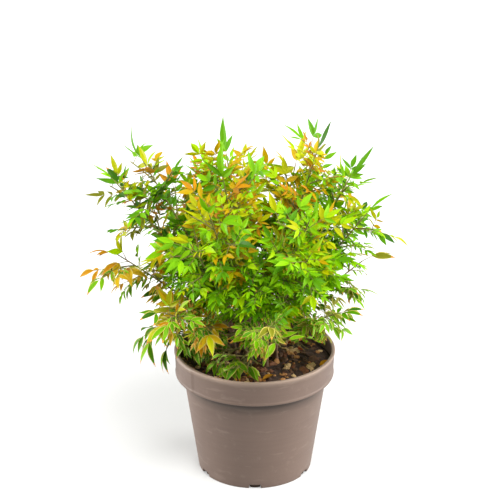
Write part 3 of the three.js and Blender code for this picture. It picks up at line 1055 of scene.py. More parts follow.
def bark(name, dark, light, mossy):
    finish = Finish(name, {})
    place = finish.place()
    fibre = finish.clouds(finish.stretched(place, (1, 1, 0.12)), 900, detail=4, roughness=0.6)
    patches = finish.ramp(finish.clouds(place, 70, detail=3), (0.5, 0), (0.7, 1))
    wood = finish.blend(fibre, linear(*dark), linear(*light))
    finish.colour(finish.coats(wood, [(patches, 0.5, mossy)]))
    finish.roughness(0.7 + 0.2 * fibre)
    finish.relief(fibre, distance=0.0006)
    return finish.material


cane_bark = bark("cane bark", (58, 40, 28), (132, 100, 68), (96, 92, 50))
stalk_bark = bark("stalk skin", (70, 56, 26), (126, 116, 54), (120, 66, 40))
cane_nodes = [f"cane_{cane.mass.name}" for cane in CANES]
bough_nodes = [f"bough_{bough.mass.name}" for bough in BOUGHS]
piece_from(limbs_mesh("canes", CANES, cane_bark), cane_nodes)
piece_from(limbs_mesh("boughs", BOUGHS, stalk_bark), bough_nodes)

# %% [markdown]
# ## Sprays
#
# At the end of each limb grows a spray: a stem, side fronds in one plane, and twigs with leaflets on both.
# This is the source's rule again. Where the source sets one large leaf, a twig goes on here with three,
# five or seven leaflets of true size, and more twigs fill in between, all within the same reach.

# %% Leaf places
LEAF = Bundle(
    length=56, width=20, fold=2.6, widest=0.42, angle=54, angle_vary=10, hang=0.7, hang_vary=0.5,
    roll=0.45, vary=0.15,
)
FACING = Bundle(up=0.85, out=0.5)
SUNK = Bundle(side=0.3, end=2.2)


def face_of(way, point, roll):
    """The way a blade's upper face looks: up and away from the crown's axis."""
    outward = Vector((point.x, point.y, 0)).normalized()
    return turned(square_to(UP * FACING.up + outward * FACING.out, way), way, roll)


def spread(forward, aside, angle):
    """A direction that stands out from forward by an angle in degrees, towards aside."""
    return forward * math.cos(math.radians(angle)) + aside * math.sin(math.radians(angle))


def place_of(point, way, keys, size=1, vary=LEAF.vary, inner=False):
    """The place of a leaf that grows this way from a point."""
    place = Bundle(root=point, way=way, keys=keys, inner=inner)
    place.face = face_of(way, point, LEAF.roll * sway(*keys, 4))
    place.length = LEAF.length * size * (1 + vary * sway(*keys, 3))
    return place


def leaf_place(point, forward, side, mass, *keys):
    across = forward.cross(face_of(forward, point, 0))
    way = spread(forward, across, (LEAF.angle + LEAF.angle_vary * sway(*keys, 1)) * side)
    way = (way - UP * mass.hang * (LEAF.hang + LEAF.hang_vary * chance(*keys, 2))).normalized()
    place = place_of(point, way, keys)
    place.root = point - way * (SUNK.end if side == 0 else SUNK.side)
    return place


def point_on(path, steps, share):
    """A point on a twig as the solid has it, in straight steps."""
    before = min(int(share * steps), steps - 1)
    return path.at(before / steps).lerp(path.at((before + 1) / steps), share * steps - before)


def leaves_along(path, steps, pairs, mass, *keys):
    leaves = [leaf_place(path.at(1), path.heading(1), 0, mass, *keys, 9, 9)]
    for p, share in enumerate(pairs):
        for side in (-1, 1):
            point = point_on(path, steps, share)
            leaves.append(leaf_place(point, path.heading(share), side, mass, *keys, p, side + 1))
    return leaves


print("leaf blade:", LEAF.length, "mm long,", LEAF.width, "mm wide")

# %% Stems and fronds
STEM = Bundle(radius=1.6, tip=0.9, steps=4, pairs=[0.88], short_of=0.9, droop=0.2)
FROND = Bundle(
    radius=1.3, tip=0.9, steps=2, pairs=[0.3, 0.9], angle=54, angle_vary=8, sway=0.6, first=0.06,
    last=0.8, droop=0.08, hang=0.25, vary=0.15,
)
FROND_LENGTH = Bundle(share=0.3, less=28, shortest=14)


def stem_path(mass):
    end = CROWN_ROOT + mass.way * (mass.reach - STEM.short_of * LEAF.length)
    length = (end - mass.start).length
    elbow = mass.start + mass.way * 0.5 * length
    end.z -= STEM.droop * mass.hang * length
    return Path(mass.start, elbow, end)


def frond_path(stem, mass, i, swing, between=0):
    """A side frond. With between=1 it grows halfway to the next one, a quarter turn further round."""
    place = (i + 0.5 * between) / (mass.ring.fronds - 1)
    share = FROND.first + (FROND.last - FROND.first) * place
    root = point_on(stem, STEM.steps, share)
    forward = stem.heading(share)
    keys = (mass.key, i + 40 * between)
    around = math.pi / 2 * (1 + between) + i * math.radians(mass.ring.turn)
    side = turned(square_to(UP, forward), forward, around + FROND.sway * sway(*keys, 3))
    angle = (FROND.angle + FROND.angle_vary * sway(*keys, 1)) * (1 - swing)
    way = spread(forward, side, angle)
    roomy = FROND_LENGTH.share * (root - CROWN_ROOT).length - FROND_LENGTH.less
    length = max(FROND_LENGTH.shortest, roomy * (1 + FROND.vary * sway(*keys, 2)))
    end = root + way * length
    end.z -= (FROND.droop + FROND.hang * mass.hang) * length
    return Path(root, root + way * length / 2, end)


print("stems:", [round(stem_path(mass).length) for mass in PLAN], "mm long")

# %% Clear of the pot and the limbs
CLEAR = Bundle(space=0.4, limb=1.5, pot=3, leaf=5)
# Where a blade, its two edges, its middle line and a frond are tested, as shares of their length.
TESTS = Bundle(
    blade=(0.25, 0.4, 0.55, 0.7, 0.85, 1), edge=(0, 0.3, 0.65), middle=(0.3, 0.5, 0.7, 0.9),
    frond=(0.25, 0.5, 0.75, 1), shoot=(0.5, 1),
)
POT_MM = Bundle(**{name: value / MM for name, value in vars(POT).items()})


def spine(limb, steps=5):
    """Points and radii along a limb, to measure how near a leaf comes."""
    shares = [i / steps for i in range(steps + 1)]
    return [(limb.path.at(share), limb.radius(share, limb.path.length)) for share in shares]


SPINES = [spine(limb) for limb in CANES + BOUGHS]


def gap_to_line(point, start, end):
    nearest, share = intersect_point_line(point, start, end)
    if share < 0:
        nearest = start
    elif share > 1:
        nearest = end
    return (nearest - point).length


def clear_of_pot(point, clear=CLEAR.pot):
    radius = math.hypot(point.x, point.y)
    if radius > POT_MM.rim + clear:
        return point.z > clear
    if radius > POT_MM.rim - POT_MM.lip - clear:
        return point.z > POT_MM.height + clear
    return point.z > MIX_CENTRE + clear


def clear_of_limbs(point):
    for links in SPINES:
        for (start, wide), (end, thin) in zip(links, links[1:]):
            if gap_to_line(point, start, end) <= max(wide, thin) + CLEAR.limb:
                return False
    return True


def in_the_air(points):
    """True if all the points are clear of the pot and of the limbs."""
    return all(clear_of_pot(p) and clear_of_limbs(p) for p in points)


print("limbs to keep clear of:", len(SPINES))

# %% Clear of other sprays and leaves


def in_space(point, mass, over=0):
    """True if a point is nearer in direction to its own spray than to any other, or this little over."""
    arm = point - CROWN_ROOT
    for other in PLAN:
        if other is mass:
            continue
        between = mass.way - other.way
        if arm.dot(between) <= (CLEAR.space - over) * between.length:
            return False
    return True


def leaf_points(leaf):
    across = leaf.way.cross(leaf.face)
    tip = leaf.root + leaf.way * leaf.length
    middle = leaf.root + leaf.way * LEAF.widest * leaf.length + leaf.face * LEAF.fold
    half = LEAF.width * leaf.length / LEAF.length / 2
    points = [leaf.root.lerp(tip, share) for share in TESTS.blade]
    for corner in (middle - across * half, middle + across * half):
        points += [corner.lerp(tip, share) for share in TESTS.edge]
    return points


def clear_of_leaves(leaf, kept, clear):
    points = [leaf.root + leaf.way * share * leaf.length for share in TESTS.middle]
    for other in kept:
        start = other.root + other.way * TESTS.middle[0] * other.length
        end = other.root + other.way * other.length
        if any(gap_to_line(point, start, end) <= clear for point in points):
            return False
    return True


def fits(points, mass, over=0):
    return all(in_space(p, mass, over) for p in points) and in_the_air(points)


print("the first stem stays in its space:", in_space(PLAN[0].start, PLAN[0]))

# %% What stays open
FRONT = Bundle(far=96, clear=14)  # over the rim's front, this far out, leaflets stay this high above it
# At the front right the mix shows: no leaflet comes lower there, and the further forward the higher it stays.
BARE = Bundle(front=15, back=60, fall=0.43, height=200)


def is_kept_open(point):
    """True low over the rim's front, and low over the front right of the mix."""
    over_rim = point.y < -FRONT.far and point.z < POT_MM.height + FRONT.clear
    over_mix = point.x > BARE.front and point.y < BARE.back
    return over_rim or (over_mix and point.z + BARE.fall * point.y < BARE.height)


print("open over the front right of the mix:", is_kept_open(Vector((60, -60, 200))))

# %% Growing the sprays
FROND_SWINGS = [0, 0.35, 0.65]
LEAF_SWINGS = [0, 0.5, 1.2]


def swung_in(leaf, swing, mass):
    way = (leaf.way + mass.way * swing).normalized()
    return Bundle(**{**vars(leaf), "way": way, "face": square_to(leaf.face, way)})


def fitting_frond(stem, mass, i, between=0, over=0):
    """A frond that keeps to its spray's space, swung in if it has to be. None if it never fits."""
    for swing in FROND_SWINGS:
        path = frond_path(stem, mass, i, swing, between)
        if fits([path.at(share) for share in TESTS.frond], mass, over):
            return path
    return None


def fitting_leaves(wanted, mass, others, clear, over=0):
    """The places that keep clear of each other and of other leaves, swung in where they have to be."""
    kept = []
    for place in wanted:
        for swing in LEAF_SWINGS:
            leaf = swung_in(place, swing, mass)
            if clear_of_leaves(leaf, others + kept, clear) and fits(leaf_points(leaf), mass, over):
                kept.append(leaf)
                break
    return kept


def grow_spray(mass):
    """The stem, the fronds and the places of leaves of one mass, as in the solids."""
    stem = stem_path(mass)
    leaves = leaves_along(stem, STEM.steps, STEM.pairs, mass, mass.key, 50)
    fronds = []
    for i in range(mass.ring.fronds):
        path = fitting_frond(stem, mass, i)
        if path:
            fronds.append(path)
            leaves += leaves_along(path, FROND.steps, FROND.pairs, mass, mass.key, i)
    kept = fitting_leaves(leaves, mass, [], CLEAR.leaf)
    return Bundle(mass=mass, stem=stem, fronds=fronds, leaves=kept)


SPRAYS = [grow_spray(mass) for mass in PLAN]
print("fronds:", sum(len(s.fronds) for s in SPRAYS), "leaf places:", sum(len(s.leaves) for s in SPRAYS))

# %% [markdown]
# ## Finer growth
#
# A real spray is denser than its solid. So there are fronds halfway between those of the solid, smaller
# places for leaves between its own, leaves that stand up from the stems on the left, and leaves on the canes
# and boughs themselves, inside the crown. Side shoots leave most limbs to left and right, and close the gap
# between two sprays. All this stays within a few millimetres of the room that the solids take.

# %% Finer twigs between them
FINER = Bundle(
    stem=[0.05, 0.2, 0.35, 0.5, 0.65, 0.8], frond=[0.08, 0.5, 0.7], between=[0.3, 0.6, 0.9], size=0.68,
    clear=1.6, over=22, open=0.8, top_open=0.94,
)


def fronds_between(spray):
    """Fronds halfway between those of the solids, which point up and down from the spray."""
    gaps = range(spray.mass.ring.fronds - 1)
    paths = [fitting_frond(spray.stem, spray.mass, i, 1, FINER.over) for i in gaps]
    return [path for path in paths if path]


def finer_places(spray):
    """Smaller leaf places between those of the solids. They may stray a little over to the next spray, but
    the spray's outer end stays open."""
    mass = spray.mass
    # Each line has its tag, and a 1 if the solid has a leaf at its end already.
    lines = [(spray.stem, STEM.steps, FINER.stem, 80, 1)]
    lines += [(frond, FROND.steps, FINER.frond, 81 + i, 1) for i, frond in enumerate(spray.fronds)]
    lines += [(frond, FROND.steps, FINER.between, 91 + i, 0) for i, frond in enumerate(spray.between)]
    wanted = []
    for path, steps, shares, tag, taken in lines:
        wanted += leaves_along(path, steps, shares, mass, mass.key, tag)[taken:]
    open_from = (FINER.top_open if mass.tier == "top" else FINER.open) * mass.reach
    wanted = [place for place in wanted if (place.root - CROWN_ROOT).length <= open_from]
    for place in wanted:
        place.length *= FINER.size
    return fitting_leaves(wanted, mass, spray.leaves, FINER.clear, FINER.over)


for spray in SPRAYS:
    fills = spray.mass.tier != "skirt"
    spray.between = fronds_between(spray) if fills else []
    spray.finer = finer_places(spray) if fills else []
print("fronds between:", sum(len(s.between) for s in SPRAYS), "places:", sum(len(s.finer) for s in SPRAYS))

# %% Leaves that stand up, and leaves on the limbs
RAISED = Bundle(
    tiers=("shoulder", "middle"), shares=[0.15, 0.3, 0.45, 0.6, 0.75, 0.9], angle=50, angle_vary=14,
    lean=0.6, size=0.85,
)
INNER = Bundle(first=0.4, gap=11.0, size=0.74, vary=0.2, angle=58, angle_vary=12, turn=137.5)


def raised_places(spray):
    """Leaf places that stand up from a spray's stem, and close the gap to the spray above it."""
    raised = []
    for i, share in enumerate(RAISED.shares):
        keys = (spray.mass.key, 130, i)
        point, forward = point_on(spray.stem, STEM.steps, share), spray.stem.heading(share)
        lean = turned(square_to(UP, forward), forward, RAISED.lean * sway(*keys, 2))
        way = spread(forward, lean, RAISED.angle + RAISED.angle_vary * sway(*keys, 1))
        leaf = place_of(point, way, keys, RAISED.size)
        if fits(leaf_points(leaf), spray.mass, FINER.over):
            raised.append(leaf)
    return raised


def inner_places(limb):
    """Leaf places on a cane or bough inside the crown, each turned on round it from the last."""
    places = []
    span = 1 - INNER.first
    count = int(span * limb.path.length / INNER.gap)
    for i in range(count):
        share = INNER.first + span * (i + 0.5) / count
        keys = (limb.mass.key, 95, i)
        forward = limb.path.heading(share)
        out = turned(square_to(UP, forward), forward, i * math.radians(INNER.turn) + limb.mass.key)
        way = spread(forward, out, INNER.angle + INNER.angle_vary * sway(*keys, 1))
        leaf = place_of(limb.path.at(share), way, keys, INNER.size, INNER.vary, inner=True)
        if in_the_air(leaf_points(leaf)):
            places.append(leaf)
    return places


for spray in SPRAYS:
    spray.limb = next(limb for limb in CANES + BOUGHS if limb.mass is spray.mass)
    spray.inner = inner_places(spray.limb)
    if spray.mass.side == "left" and spray.mass.tier in RAISED.tiers:
        spray.finer += raised_places(spray)
print("places on the limbs:", sum(len(s.inner) for s in SPRAYS))

# %% Side shoots
SHOOTS = Bundle(
    shares=[0.6, 0.78, 0.95], lengths={"upper": 74, "shoulder": 74, "skirt": 46}, vary=0.2, aside=1.15,
    tilt=0.3, lift=0.12, pairs=[0.3, 0.6, 0.9], size=0.7,
)


def side_shoots(limb):
    """Twigs that leave a limb inside the crown to its left and right, and fill the gap to the next spray."""
    shoots, places = [], []
    mass = limb.mass
    for i, share in enumerate(SHOOTS.shares):
        root, forward = limb.path.at(share), limb.path.heading(share)
        for side in (-1, 1):
            keys = (mass.key, 110 + 2 * i + (side + 1) // 2)
            across = forward.cross(UP).normalized() * side
            tilt = SHOOTS.tilt * sway(*keys, 2)
            way = (forward + across * SHOOTS.aside + UP * tilt).normalized()
            long = SHOOTS.lengths[mass.tier] * (1 + SHOOTS.vary * sway(*keys, 1))
            end = root + way * long + UP * SHOOTS.lift * long
            path = Path(root, root + way * long / 2, end)
            if is_kept_open(end) or not all(clear_of_pot(path.at(share)) for share in TESTS.shoot):
                continue
            shoots.append(path)
            for place in leaves_along(path, FROND.steps, SHOOTS.pairs, mass, *keys):
                place.length *= SHOOTS.size
                place.inner = True
                low = is_kept_open(place.root + place.way * place.length)
                if not low and in_the_air(leaf_points(place)):
                    places.append(place)
    return shoots, places


for spray in SPRAYS:
    spray.shoots, places = side_shoots(spray.limb) if spray.mass.tier in SHOOTS.lengths else ([], [])
    spray.inner += places
print("finer:", sum(len(s.finer) for s in SPRAYS), "inside the crown:", sum(len(s.inner) for s in SPRAYS))

# %% [markdown]
# ## Colours of the leaves
#
# New growth is gold, amber and bronze. Leaves that catch the sun are lime, and older ones are deep green.
# Leaves near the pot have pale edges and tan tips. Such colours have a place on the plant, so each is a
# plain finish, and every twig is dealt one by its ring, by its side of the plant and by chance.

# %% Leaf tints
TINTS = {
    "olive": (116, 118, 26),
    "deep green": (48, 92, 8),
    "leaf green": (76, 128, 4),
    "fresh green": (102, 156, 2),
    "bright green": (122, 174, 2),
    "lime": (146, 182, 2),
    "yellow green": (160, 164, 2),
    "gold": (176, 144, 4),
    "amber": (178, 124, 8),
    "bronze": (154, 106, 22),
    "rust": (136, 60, 22),
}
MARGIN = (184, 170, 82)
TAN_TIP = (188, 128, 52)
GLOW = 0.3  # how much light comes through a leaf


def leaf_finish(name, colour):
    finish = Finish(name, {"Roughness": 0.5, "Specular IOR Level": 0.12})
    finish.colour(linear(*colour))
    glow = finish.add("ShaderNodeBsdfTranslucent", None, {"Color": linear(*colour)})
    surface = Wire(finish, finish.shader.outputs[0])
    both = finish.add("ShaderNodeMixShader", None, {0: GLOW, 1: surface, 2: glow})
    finish.plug(finish.tree.nodes["Material Output"].inputs["Surface"], both)
    return finish.material


LEAF_FINISHES = [leaf_finish(name, colour) for name, colour in TINTS.items()]
MARGIN_FINISH = leaf_finish("pale margin", MARGIN)
TIP_FINISH = leaf_finish("tan tip", TAN_TIP)
print("tints:", len(TINTS))

# %% Dealing the tints
TINT_NAMES = list(TINTS)
# For each ring and side of the plant, how many twigs in a hundred take each tint.
DEAL = {
    "top": {"gold": 34, "yellow green": 28, "amber": 14, "lime": 8, "fresh green": 8, "bronze": 8},
    "upper": {
        "yellow green": 26, "lime": 18, "bright green": 18, "fresh green": 14, "gold": 16, "leaf green": 8,
    },
    "upper left": {
        "fresh green": 18, "leaf green": 24, "yellow green": 14, "deep green": 10, "olive": 18, "gold": 6,
        "bronze": 10,
    },
    "upper right": {
        "bright green": 24, "fresh green": 26, "lime": 14, "yellow green": 20, "leaf green": 10, "gold": 6,
    },
    "shoulder": {"bright green": 36, "lime": 26, "fresh green": 26, "yellow green": 6, "leaf green": 6},
    "shoulder left": {
        "leaf green": 24, "fresh green": 26, "deep green": 8, "yellow green": 18, "olive": 14, "gold": 4,
        "bronze": 6,
    },
    "shoulder right": {
        "bright green": 24, "fresh green": 30, "lime": 12, "yellow green": 14, "leaf green": 16, "olive": 4,
    },
    "middle": {"bright green": 42, "lime": 28, "fresh green": 26, "leaf green": 4},
    "middle left": {
        "fresh green": 18, "yellow green": 20, "leaf green": 14, "gold": 12, "amber": 12, "bronze": 12,
        "olive": 12,
    },
    "middle right": {
        "bright green": 24, "fresh green": 30, "lime": 14, "yellow green": 12, "leaf green": 16, "olive": 4,
    },
    "skirt": {"leaf green": 24, "fresh green": 48, "bright green": 16, "olive": 12},
    "tips": {"fresh green": 40, "leaf green": 28, "bright green": 16, "yellow green": 8, "olive": 8},
    "inner": {"leaf green": 18, "fresh green": 38, "bright green": 44},
}
HIGH_TIERS = ("top", "upper", "shoulder")
TIPS_FROM = 0.84  # the share of a high spray's reach where its green tips begin
LOW = Bundle(height=236, slope=0.43)  # leaves under this cone, on the crown's underside, are old ones


def is_low(point):
    return point.z - LOW.slope * math.hypot(point.x, point.y) < LOW.height


def hand_of(leaf, mass):
    """The name of the hand that a twig's tint is dealt from."""
    if leaf.inner:
        return "inner"
    if is_low(leaf.root) and not (mass.side == "left" and mass.tier == "middle"):
        return "skirt"
    if mass.tier in HIGH_TIERS and (leaf.root - CROWN_ROOT).length > TIPS_FROM * mass.reach:
        return "tips"
    side_hand = f"{mass.tier} {mass.side}"
    return side_hand if side_hand in DEAL else mass.tier


def dealt_tint(leaf, mass):
    hand = DEAL[hand_of(leaf, mass)]
    draw = chance(*leaf.keys, 71) * sum(hand.values())
    for tint, count in hand.items():
        draw -= count
        if draw < 0:
            return TINT_NAMES.index(tint)
    return TINT_NAMES.index(tint)


print("first tints:", [TINT_NAMES[dealt_tint(leaf, PLAN[0])] for leaf in SPRAYS[0].leaves[:5]])

# %% [markdown]
# ## Leaflets
#
# A leaflet is a thin lance-shaped blade with a fold along its midrib. Nine shapes are enough, because each
# is turned and sized by its twig. A shape is a few rows of points, and a sharp edge down the midrib keeps the
# fold crisp. Twigs branch in four habits, which are written as short tables of where leaflets sit. Each
# leaflet is first only a noted point, and Geometry Nodes then set a blade on it.

# %% Leaflet shapes
BLADE_CUP = 0.34  # how steeply its two halves rise from the midrib
BLADE_PULL = 0.25  # how far its tip comes back as it bends
# How wide a leaflet is, as a share of its width, from its base to its tip.
BLADE_STATIONS = [
    (0, 0), (0.06, 0.3), (0.17, 0.7), (0.32, 0.97), (0.47, 0.98), (0.64, 0.74), (0.8, 0.4), (0.91, 0.17),
    (1, 0),
]
# Each kind's width, how far it droops and how it curls, as shares of its length. The last two are edged.
BLADE_KINDS = [
    (0.31, 0.10, 0.0),
    (0.35, 0.22, 0.5),
    (0.29, 0.04, -0.4),
    (0.32, -0.1, 0.3),
    (0.25, 0.14, 0.2),
    (0.27, 0.36, -0.5),
    (0.25, -0.12, 0.6),
    (0.34, 0.16, 0.4),
    (0.31, 0.34, -0.5),
]
SHORT_KINDS, LONG_KINDS, EDGED_KINDS = (0, 1, 2, 3), (4, 5, 6), (7, 8)
LONG_BLADE = 32.0


def blade_point(share, aside, kind):
    """A point on a leaflet one metre long that grows along X, with its upper face along Z."""
    width, droop, curl = BLADE_KINDS[kind]
    bend = droop * share * share
    twist = curl * share
    width = width / 2 * aside
    lift = BLADE_CUP * abs(width) - bend + width * math.sin(twist)
    return Vector((share - BLADE_PULL * bend * share, width * math.cos(twist), lift))


PART = Bundle(blade=0, margin=1, tip=2)


def blade_mesh(kind):
    """Rows of points across the blade from its base to its tip. Edged ones have a strip down each side."""
    edged = kind in EDGED_KINDS
    columns = (-1, -0.8, 0, 0.8, 1) if edged else (-1, 0, 1)
    points, faces, parts = [blade_point(0, 0, kind)], [], []
    for share, wide in BLADE_STATIONS[1:-1]:
        points += [blade_point(share, column * wide, kind) for column in columns]
    points.append(blade_point(1, 0, kind))
    count, rows, last = len(columns), len(BLADE_STATIONS) - 2, len(points) - 1
    for c in range(count - 1):
        side = PART.margin if edged and c in (0, count - 2) else PART.blade
        faces.append((0, 1 + c, 2 + c))
        parts.append(side)
        for row in range(rows - 1):
            a = 1 + row * count + c
            faces.append((a, a + count, a + count + 1, a + 1))
            parts.append(PART.tip if row >= rows - 2 and side == PART.blade else side)
        a = 1 + (rows - 1) * count + c
        faces.append((a, last, a + 1))
        parts.append(PART.tip)
    mesh = mesh_of(f"leaflet {kind}", points, faces)
    note(mesh, "part", "INT", "FACE", parts)
    on_midrib = {0, last} | {1 + row * count + count // 2 for row in range(rows)}
    creases = [set(edge.vertices) <= on_midrib for edge in mesh.edges]
    note(mesh, "sharp_edge", "BOOLEAN", "EDGE", creases)
    return mesh


BLADES = shapes_of("leaflet shapes", [blade_mesh(kind) for kind in range(len(BLADE_KINDS))])

# %% Habits of twigs
# Bold twigs carry three large leaflets, fine ones seven small ones, and open ones, at the crown's edge, five
# far apart. A leader is the long tip of a spray in one of the upper rings. Sizes are shares of the twig's
# length, and each pair is its place on the stalk, its leaflets' size, and how many degrees they stand out.
BOLD = Bundle(stalk=0.38, end=0.62, pairs=[(0.9, 0.54, 44)])
FINE = Bundle(stalk=0.58, end=0.44, pairs=[(0.94, 0.38, 48), (0.58, 0.38, 56), (0.22, 0.32, 62)])
LEADER = Bundle(stalk=0.22, end=0.84, pairs=[(0.8, 0.55, 36)])
OPEN = Bundle(stalk=0.6, end=0.44, pairs=[(0.8, 0.4, 44), (0.32, 0.36, 54)])
BOLDER_LEFT = 0.3  # added to the share of bold twigs on the left
BOLD_SHARE = {"top": 0.34, "upper": 0.28, "shoulder": 0.18, "middle": 0.16, "skirt": 0.75}
# For each ring, the share of its reach where a spray thins out, and the share of places left bare there.
EDGE = {
    "top": (0.9, 0.2),
    "upper": (0.82, 0.2),
    "shoulder": (0.8, 0.34),
    "middle": (0.62, 0.5),
    "skirt": (0.5, 0.35),
}
# Further in, a smaller share is left bare: the lower the ring, the more light comes through.
THIN = {"top": 0, "upper": 0.1, "shoulder": 0.2, "middle": 0.32, "skirt": 0}
STEM_END = (50, 9, 9)  # the keys of the place at the end of a spray's stem


def at_edge(point, mass):
    return (point - CROWN_ROOT).length > EDGE[mass.tier][0] * mass.reach


def left_bare(leaf, mass):
    """Some places are left bare by chance, most at a spray's edge, but never the one at its stem's end."""
    if leaf.keys[1:4] == STEM_END:
        return False
    share = EDGE[mass.tier][1] if at_edge(leaf.root, mass) else THIN[mass.tier]
    if mass.side == "left" and mass.tier != "skirt":
        share = share / 2
    return chance(*leaf.keys, 61) < share


def habit_of(root, mass, keys):
    """How a twig branches: boldly at the end of a spray's stem, above all in the upper rings."""
    if keys[1:4] == STEM_END:
        return LEADER if mass.tier in HIGH_TIERS else BOLD
    if chance(*keys, 46) < BOLD_SHARE[mass.tier] + (BOLDER_LEFT if mass.side == "left" else 0):
        return BOLD
    return OPEN if at_edge(root, mass) else FINE


print("left bare:", sum(left_bare(leaf, spray.mass) for spray in SPRAYS for leaf in spray.leaves))

# %% One leaflet
# How many leaflets have pale edges outside the low ones, and how many have a tan tip.
AGED = Bundle(edged=0.2, tan_if_edged=0.6, tan=0.05)
BLADE_CLEAR = 1.5  # from the pot, at these shares of the blade
BLADE_TESTS = (0.3, 0.45, 0.6, 0.8, 1)


def add_leaflet(basket, root, way, face, length, tint, keys):
    """Notes one leaflet, unless its blade would reach into the pot or the mix, or over the rim in front."""
    tip = root + way * length
    if is_kept_open(tip):
        return
    if not all(clear_of_pot(root.lerp(tip, share), BLADE_CLEAR) for share in BLADE_TESTS):
        return
    edged = is_low(root) or (basket.mass.tier == "middle" and chance(*keys, 31) < AGED.edged)
    shapes = EDGED_KINDS if edged else LONG_KINDS if length > LONG_BLADE else SHORT_KINDS
    kind = shapes[int(chance(*keys, 33) * len(shapes))]
    tan = int((edged and chance(*keys, 34) < AGED.tan_if_edged) or chance(*keys, 35) < AGED.tan)
    leaflet = Bundle(root=root, way=way, face=face, length=length, kind=kind, tint=tint, tip=tan)
    basket.leaflets.append(leaflet)


NEAR_TINT = Bundle(share=0.36, golden=0.5)


def near_tint(tint, *keys):
    """Now and then a leaflet is one shade greener or more golden than its twig's tint."""
    if chance(*keys, 51) > NEAR_TINT.share:
        return tint
    golden = tint < TINT_NAMES.index("gold") and chance(*keys, 52) < NEAR_TINT.golden
    return tint + 1 if golden else max(0, tint - 1)


near = {near_tint(TINT_NAMES.index("lime"), key) for key in range(20)}
print("near lime:", [TINT_NAMES[tint] for tint in sorted(near)])

# %% Twigs with their leaflets
TWIG = Bundle(radius=0.65, tip=0.35, steps=3)
SMOOTH = Bundle(stem=8, frond=5)  # how many steps each is drawn in here, more than the solids have
HABIT_SWAY = Bundle(end=0.15, size=0.18, angle=10, roll=0.6)
SAG = Bundle(least=0.05, hang=0.2)  # of a twig's stalk, and more where its spray hangs
DROOP = Bundle(least=0.08, hang=0.5)  # of its leaflets


def grow_twig(basket, root, way, face, length, tint, *keys):
    """A thin stalk that sags, with a leaflet at its end and pairs of leaflets below it."""
    mass = basket.mass
    habit = habit_of(root, mass, keys)
    stalk = habit.stalk * length
    sag = UP * (SAG.least + SAG.hang * mass.hang) * stalk
    path = Path(root, root + way * stalk * 0.5, root + way * stalk - sag)
    basket.twigs.append((path, TWIG.radius, TWIG.tip, TWIG.steps))
    forward = path.heading(1)
    across = forward.cross(face)
    blade = habit.end * length * (1 + HABIT_SWAY.end * sway(*keys, 41))
    last_tint = near_tint(tint, *keys, 1)
    add_leaflet(basket, path.at(1), forward, square_to(face, forward), blade, last_tint, (*keys, 1))
    for p, (share, size, angle) in enumerate(habit.pairs):
        for side in (-1, 1):
            tags = (*keys, 2 + p, side + 1)
            side_way = spread(forward, across, (angle + HABIT_SWAY.angle * sway(*tags, 42)) * side)
            droop = DROOP.least + mass.hang * DROOP.hang * (1 + chance(*tags, 43))
            side_way = (side_way - UP * droop).normalized()
            roll = HABIT_SWAY.roll * sway(*tags, 44)
            side_face = turned(square_to(face, side_way), side_way, roll)
            long = size * length * (1 + HABIT_SWAY.size * sway(*tags, 45))
            add_leaflet(basket, path.at(share), side_way, side_face, long, near_tint(tint, *tags), tags)


def dress_spray(spray):
    """All twigs and leaflets of one mass."""
    basket = Bundle(mass=spray.mass, twigs=[], leaflets=[])
    basket.twigs.append((spray.stem, STEM.radius, STEM.tip, SMOOTH.stem))
    for frond in spray.fronds + spray.between + spray.shoots:
        basket.twigs.append((frond, FROND.radius, FROND.tip, SMOOTH.frond))
    for leaf in spray.leaves + spray.finer + spray.inner:
        if left_bare(leaf, spray.mass):
            continue
        tint = dealt_tint(leaf, spray.mass)
        grow_twig(basket, leaf.root, leaf.way, leaf.face, leaf.length, tint, *leaf.keys, 60)
    return basket


BASKETS = [dress_spray(spray) for spray in SPRAYS]
print("leaflets:", sum(len(b.leaflets) for b in BASKETS), "twigs:", sum(len(b.twigs) for b in BASKETS))

# %% Leaflet rule


def leaflet_rule(shapes):
    rule = Rule("set out leaflets")
    way, face = rule.attribute("way", "FLOAT_VECTOR"), rule.attribute("face", "FLOAT_VECTOR")
    axes = {"Primary Axis": way, "Secondary Axis": face}
    turn = rule.add("FunctionNodeAxesToRotation", {"primary_axis": "X", "secondary_axis": "Z"}, axes)
    kind, long = rule.attribute("kind", "INT"), rule.attribute("long", "FLOAT")
    geometry = rule.made_real(rule.set_out(rule.entry.outputs[0], shapes, kind, turn, long))
    for number, material in enumerate(LEAF_FINISHES):
        chosen = rule.compare("EQUAL", rule.attribute("tint", "INT"), number)
        geometry = rule.painted(geometry, material, chosen)
    part = rule.attribute("part", "INT")
    edged = rule.compare("EQUAL", part, PART.margin)
    ends = {0: rule.compare("EQUAL", part, PART.tip)}
    ends[1] = rule.compare("EQUAL", rule.attribute("tip", "INT"), 1)
    tipped = rule.add("FunctionNodeBooleanMath", {"operation": "AND"}, ends)
    rule.end(rule.painted(rule.painted(geometry, MARGIN_FINISH, edged), TIP_FINISH, tipped))
    return rule


LEAFLET_NOTES = {"way": "FLOAT_VECTOR", "face": "FLOAT_VECTOR", "kind": "INT", "tint": "INT", "tip": "INT"}


def leaflet_bed(name, leaflets):
    """One point for each leaflet, which carries the way it grows, where it faces and what it is."""
    bed = mesh_of(name, [leaflet.root * MM for leaflet in leaflets], [])
    note(bed, "long", "FLOAT", "POINT", [leaflet.length * MM for leaflet in leaflets])
    for key, kind in LEAFLET_NOTES.items():
        note(bed, key, kind, "POINT", [getattr(leaflet, key) for leaflet in leaflets])
    return bed


def pieces_by_ring(kind, make):
    """One piece for each ring of sprays, which make builds from their baskets."""
    for ring in RINGS:
        baskets = [basket for basket in BASKETS if basket.mass.ring is ring]
        nodes = [f"foliage_{basket.mass.name}" for basket in baskets]
        piece_from(make(f"{kind}_{ring.name}", baskets), nodes)


